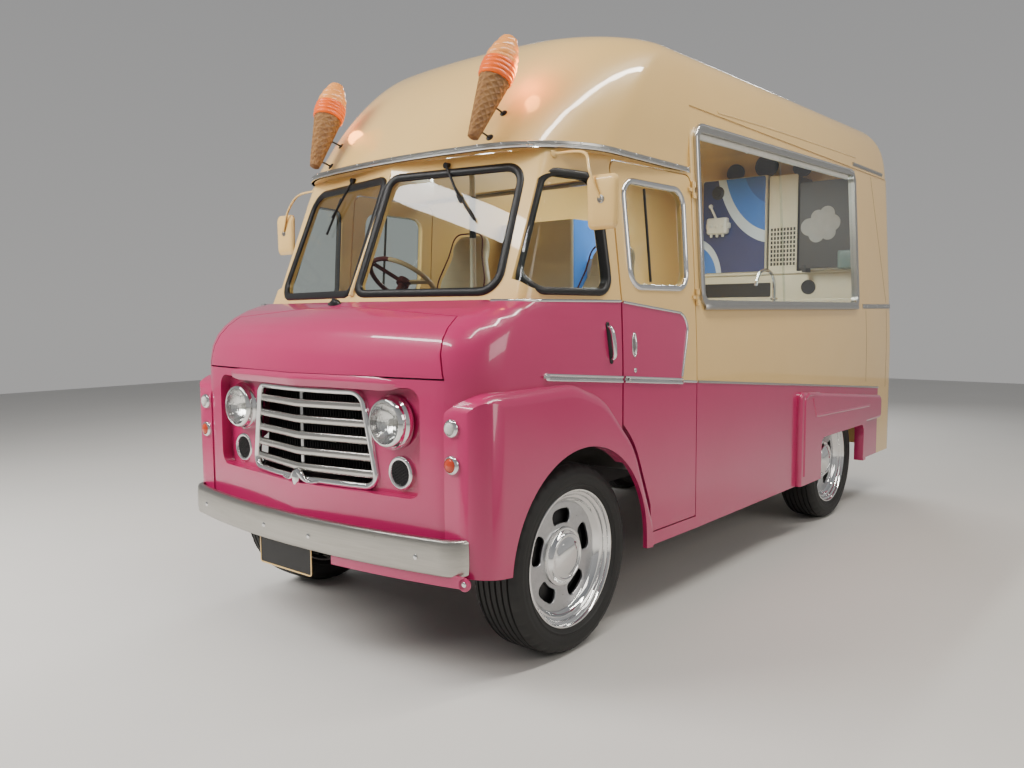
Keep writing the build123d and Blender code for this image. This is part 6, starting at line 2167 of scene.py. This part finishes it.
put("hatch_blind", sweep(blind, [Vector((0, 1, 0))] * len(blind), blind_section, False), "white_plastic")
low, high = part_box("hatch_frame")
sill_section = [
    (-0.016, -0.003), (-0.016, 0.008), (-0.011, 0.016), (0.004, 0.018), (0.013, 0.014), (0.016, 0.004),
    (0.016, -0.003),
]
sill = side_line([(-1.655, 1.522), (0.770, 1.522)], sill_section, ("hatch_frame", "body_side_left"), 1)
put("hatch_sill", sill, "satin")
tree_frame = tree_of("hatch_frame")


def frame_edge(cx, cz, dx, dz, reach):
    """The hatch frame's outer border on a line from a place inside it."""
    far = reach
    while far > 0 and cast(tree_frame, (cx + dx * far, 3, cz + dz * far), (0, -1, 0)) is None:
        far -= 0.003
    return cx + dx * (far - 0.007), cz + dz * (far - 0.007)


edge = []
for i in range(25):
    edge.append(frame_edge(low.x + 0.05 + (high.x - low.x - 0.14) * i / 24, high.z - 0.16, 0, 1, 0.17))
corner_x, corner_z = high.x - 0.085, edge[-1][1] - 0.075
for i in range(1, 8):
    q = i * math.pi / 16
    edge.append(frame_edge(corner_x, corner_z, math.sin(q), math.cos(q), 0.16))
for i in range(17):
    edge.append(frame_edge(high.x - 0.08, corner_z - (corner_z - low.z - 0.07) * i / 16, 1, 0, 0.09))
rim = side_line(edge, dome_profile(0.014, 0.007, 0.004), ("hatch_frame", "body_side_left"), 1)
put("hatch_bright_edge", rim, "chrome")

# Floor, lights and camera
def stage():
    size = 30
    bpy.ops.mesh.primitive_plane_add(size=size, location=(0, 0, 0))
    floor = bpy.context.object
    floor.name = "studio_floor"
    n = Nodes("studio_floor")
    n.colour(n.mix(n.noise(0.8), srgb("D5D3CE"), srgb("DCDAD5")))
    n.rough(n.spread(n.noise(2.0), 0.5, 0.62))
    floor.data.materials.append(n.mat)
    world = bpy.data.worlds.new("studio")
    bpy.context.scene.world = world
    world.use_nodes = True
    tree = world.node_tree
    tree.nodes.clear()
    out = tree.nodes.new("ShaderNodeOutputWorld")
    back = tree.nodes.new("ShaderNodeBackground")
    coord = tree.nodes.new("ShaderNodeTexCoord")
    split = tree.nodes.new("ShaderNodeSeparateXYZ")
    ramp = tree.nodes.new("ShaderNodeValToRGB")
    tree.links.new(coord.outputs["Generated"], split.inputs[0])
    tree.links.new(split.outputs[2], ramp.inputs[0])
    ramp.color_ramp.elements[0].color = (0.62, 0.61, 0.60, 1)
    ramp.color_ramp.elements[1].color = (0.30, 0.31, 0.33, 1)
    tree.links.new(ramp.outputs[0], back.inputs["Color"])
    back.inputs["Strength"].default_value = 0.66
    tree.links.new(back.outputs[0], out.inputs["Surface"])


def area(name, place, target, size, size_y, power, colour=(1, 1, 1)):
    light = bpy.data.lights.new(name, "AREA")
    light.shape = "RECTANGLE"
    light.size = size
    light.size_y = size_y
    light.energy = power
    light.color = colour
    obj = bpy.data.objects.new(name, light)
    bpy.context.scene.collection.objects.link(obj)
    obj.location = place
    obj.rotation_euler = (Vector(target) - Vector(place)).to_track_quat("-Z", "Y").to_euler()
    return obj


stage()
key = area("key_window", (6.0, -3.4, 4.6), (1.6, 0, 1.0), 3.6, 3.0, 560, (1.0, 0.98, 0.95))
key.visible_glossy = False
area("bonnet_strip", (5.2, -1.6, 5.4), (2.3, 0, 1.4), 4.2, 0.30, 90, (1.0, 0.98, 0.95))
for side in (1, -1):
    glow = bpy.data.lights.new("cone_glow", "POINT")
    glow.energy = 2.2
    glow.color = (1.0, 0.33, 0.06)
    glow.shadow_soft_size = 0.05
    glow_obj = bpy.data.objects.new("cone_glow", glow)
    glow_obj.location = (1.86, side * 0.66, 2.56)
    bpy.context.scene.collection.objects.link(glow_obj)
area("fill_side", (0.5, 7.5, 4.0), (0.2, 0, 1.2), 5.0, 2.4, 130, (1.0, 0.94, 0.86))
area("strip_ceiling", (1.0, 2.6, 5.4), (0.4, 0.6, 1.5), 6.5, 0.22, 210, (1.0, 0.95, 0.88))
area("back_rim", (-6.5, -3.5, 4.5), (0, 0, 1.5), 4.0, 2.5, 300)
area("box_light", (-0.7, 0.1, 2.66), (-0.7, 0.1, 0), 1.6, 0.10, 52, (0.97, 1.0, 0.96))

RIGHT = Vector((-0.6391637, 0.7690449, -0.0062985))
DOWN = Vector((0.0677895, 0.0481791, -0.9965357))
camera_data = bpy.data.cameras.new("camera")
FOCAL_PIXELS = 849.7
PHOTO_WIDTH = 1024
SENSOR_MM = 36
camera_data.lens = FOCAL_PIXELS * SENSOR_MM / PHOTO_WIDTH
camera_data.sensor_width = SENSOR_MM
camera_data.clip_end = 200
camera = bpy.data.objects.new("camera", camera_data)
bpy.context.scene.collection.objects.link(camera)
right = (RIGHT - DOWN * RIGHT.dot(DOWN)).normalized()
forward = right.cross(DOWN).normalized()
turn = Matrix((right, -DOWN, -forward)).transposed()
camera.matrix_world = Matrix.Translation(CAMERA) @ turn.to_4x4()
bpy.context.scene.camera = camera

bpy.context.view_layer.update()
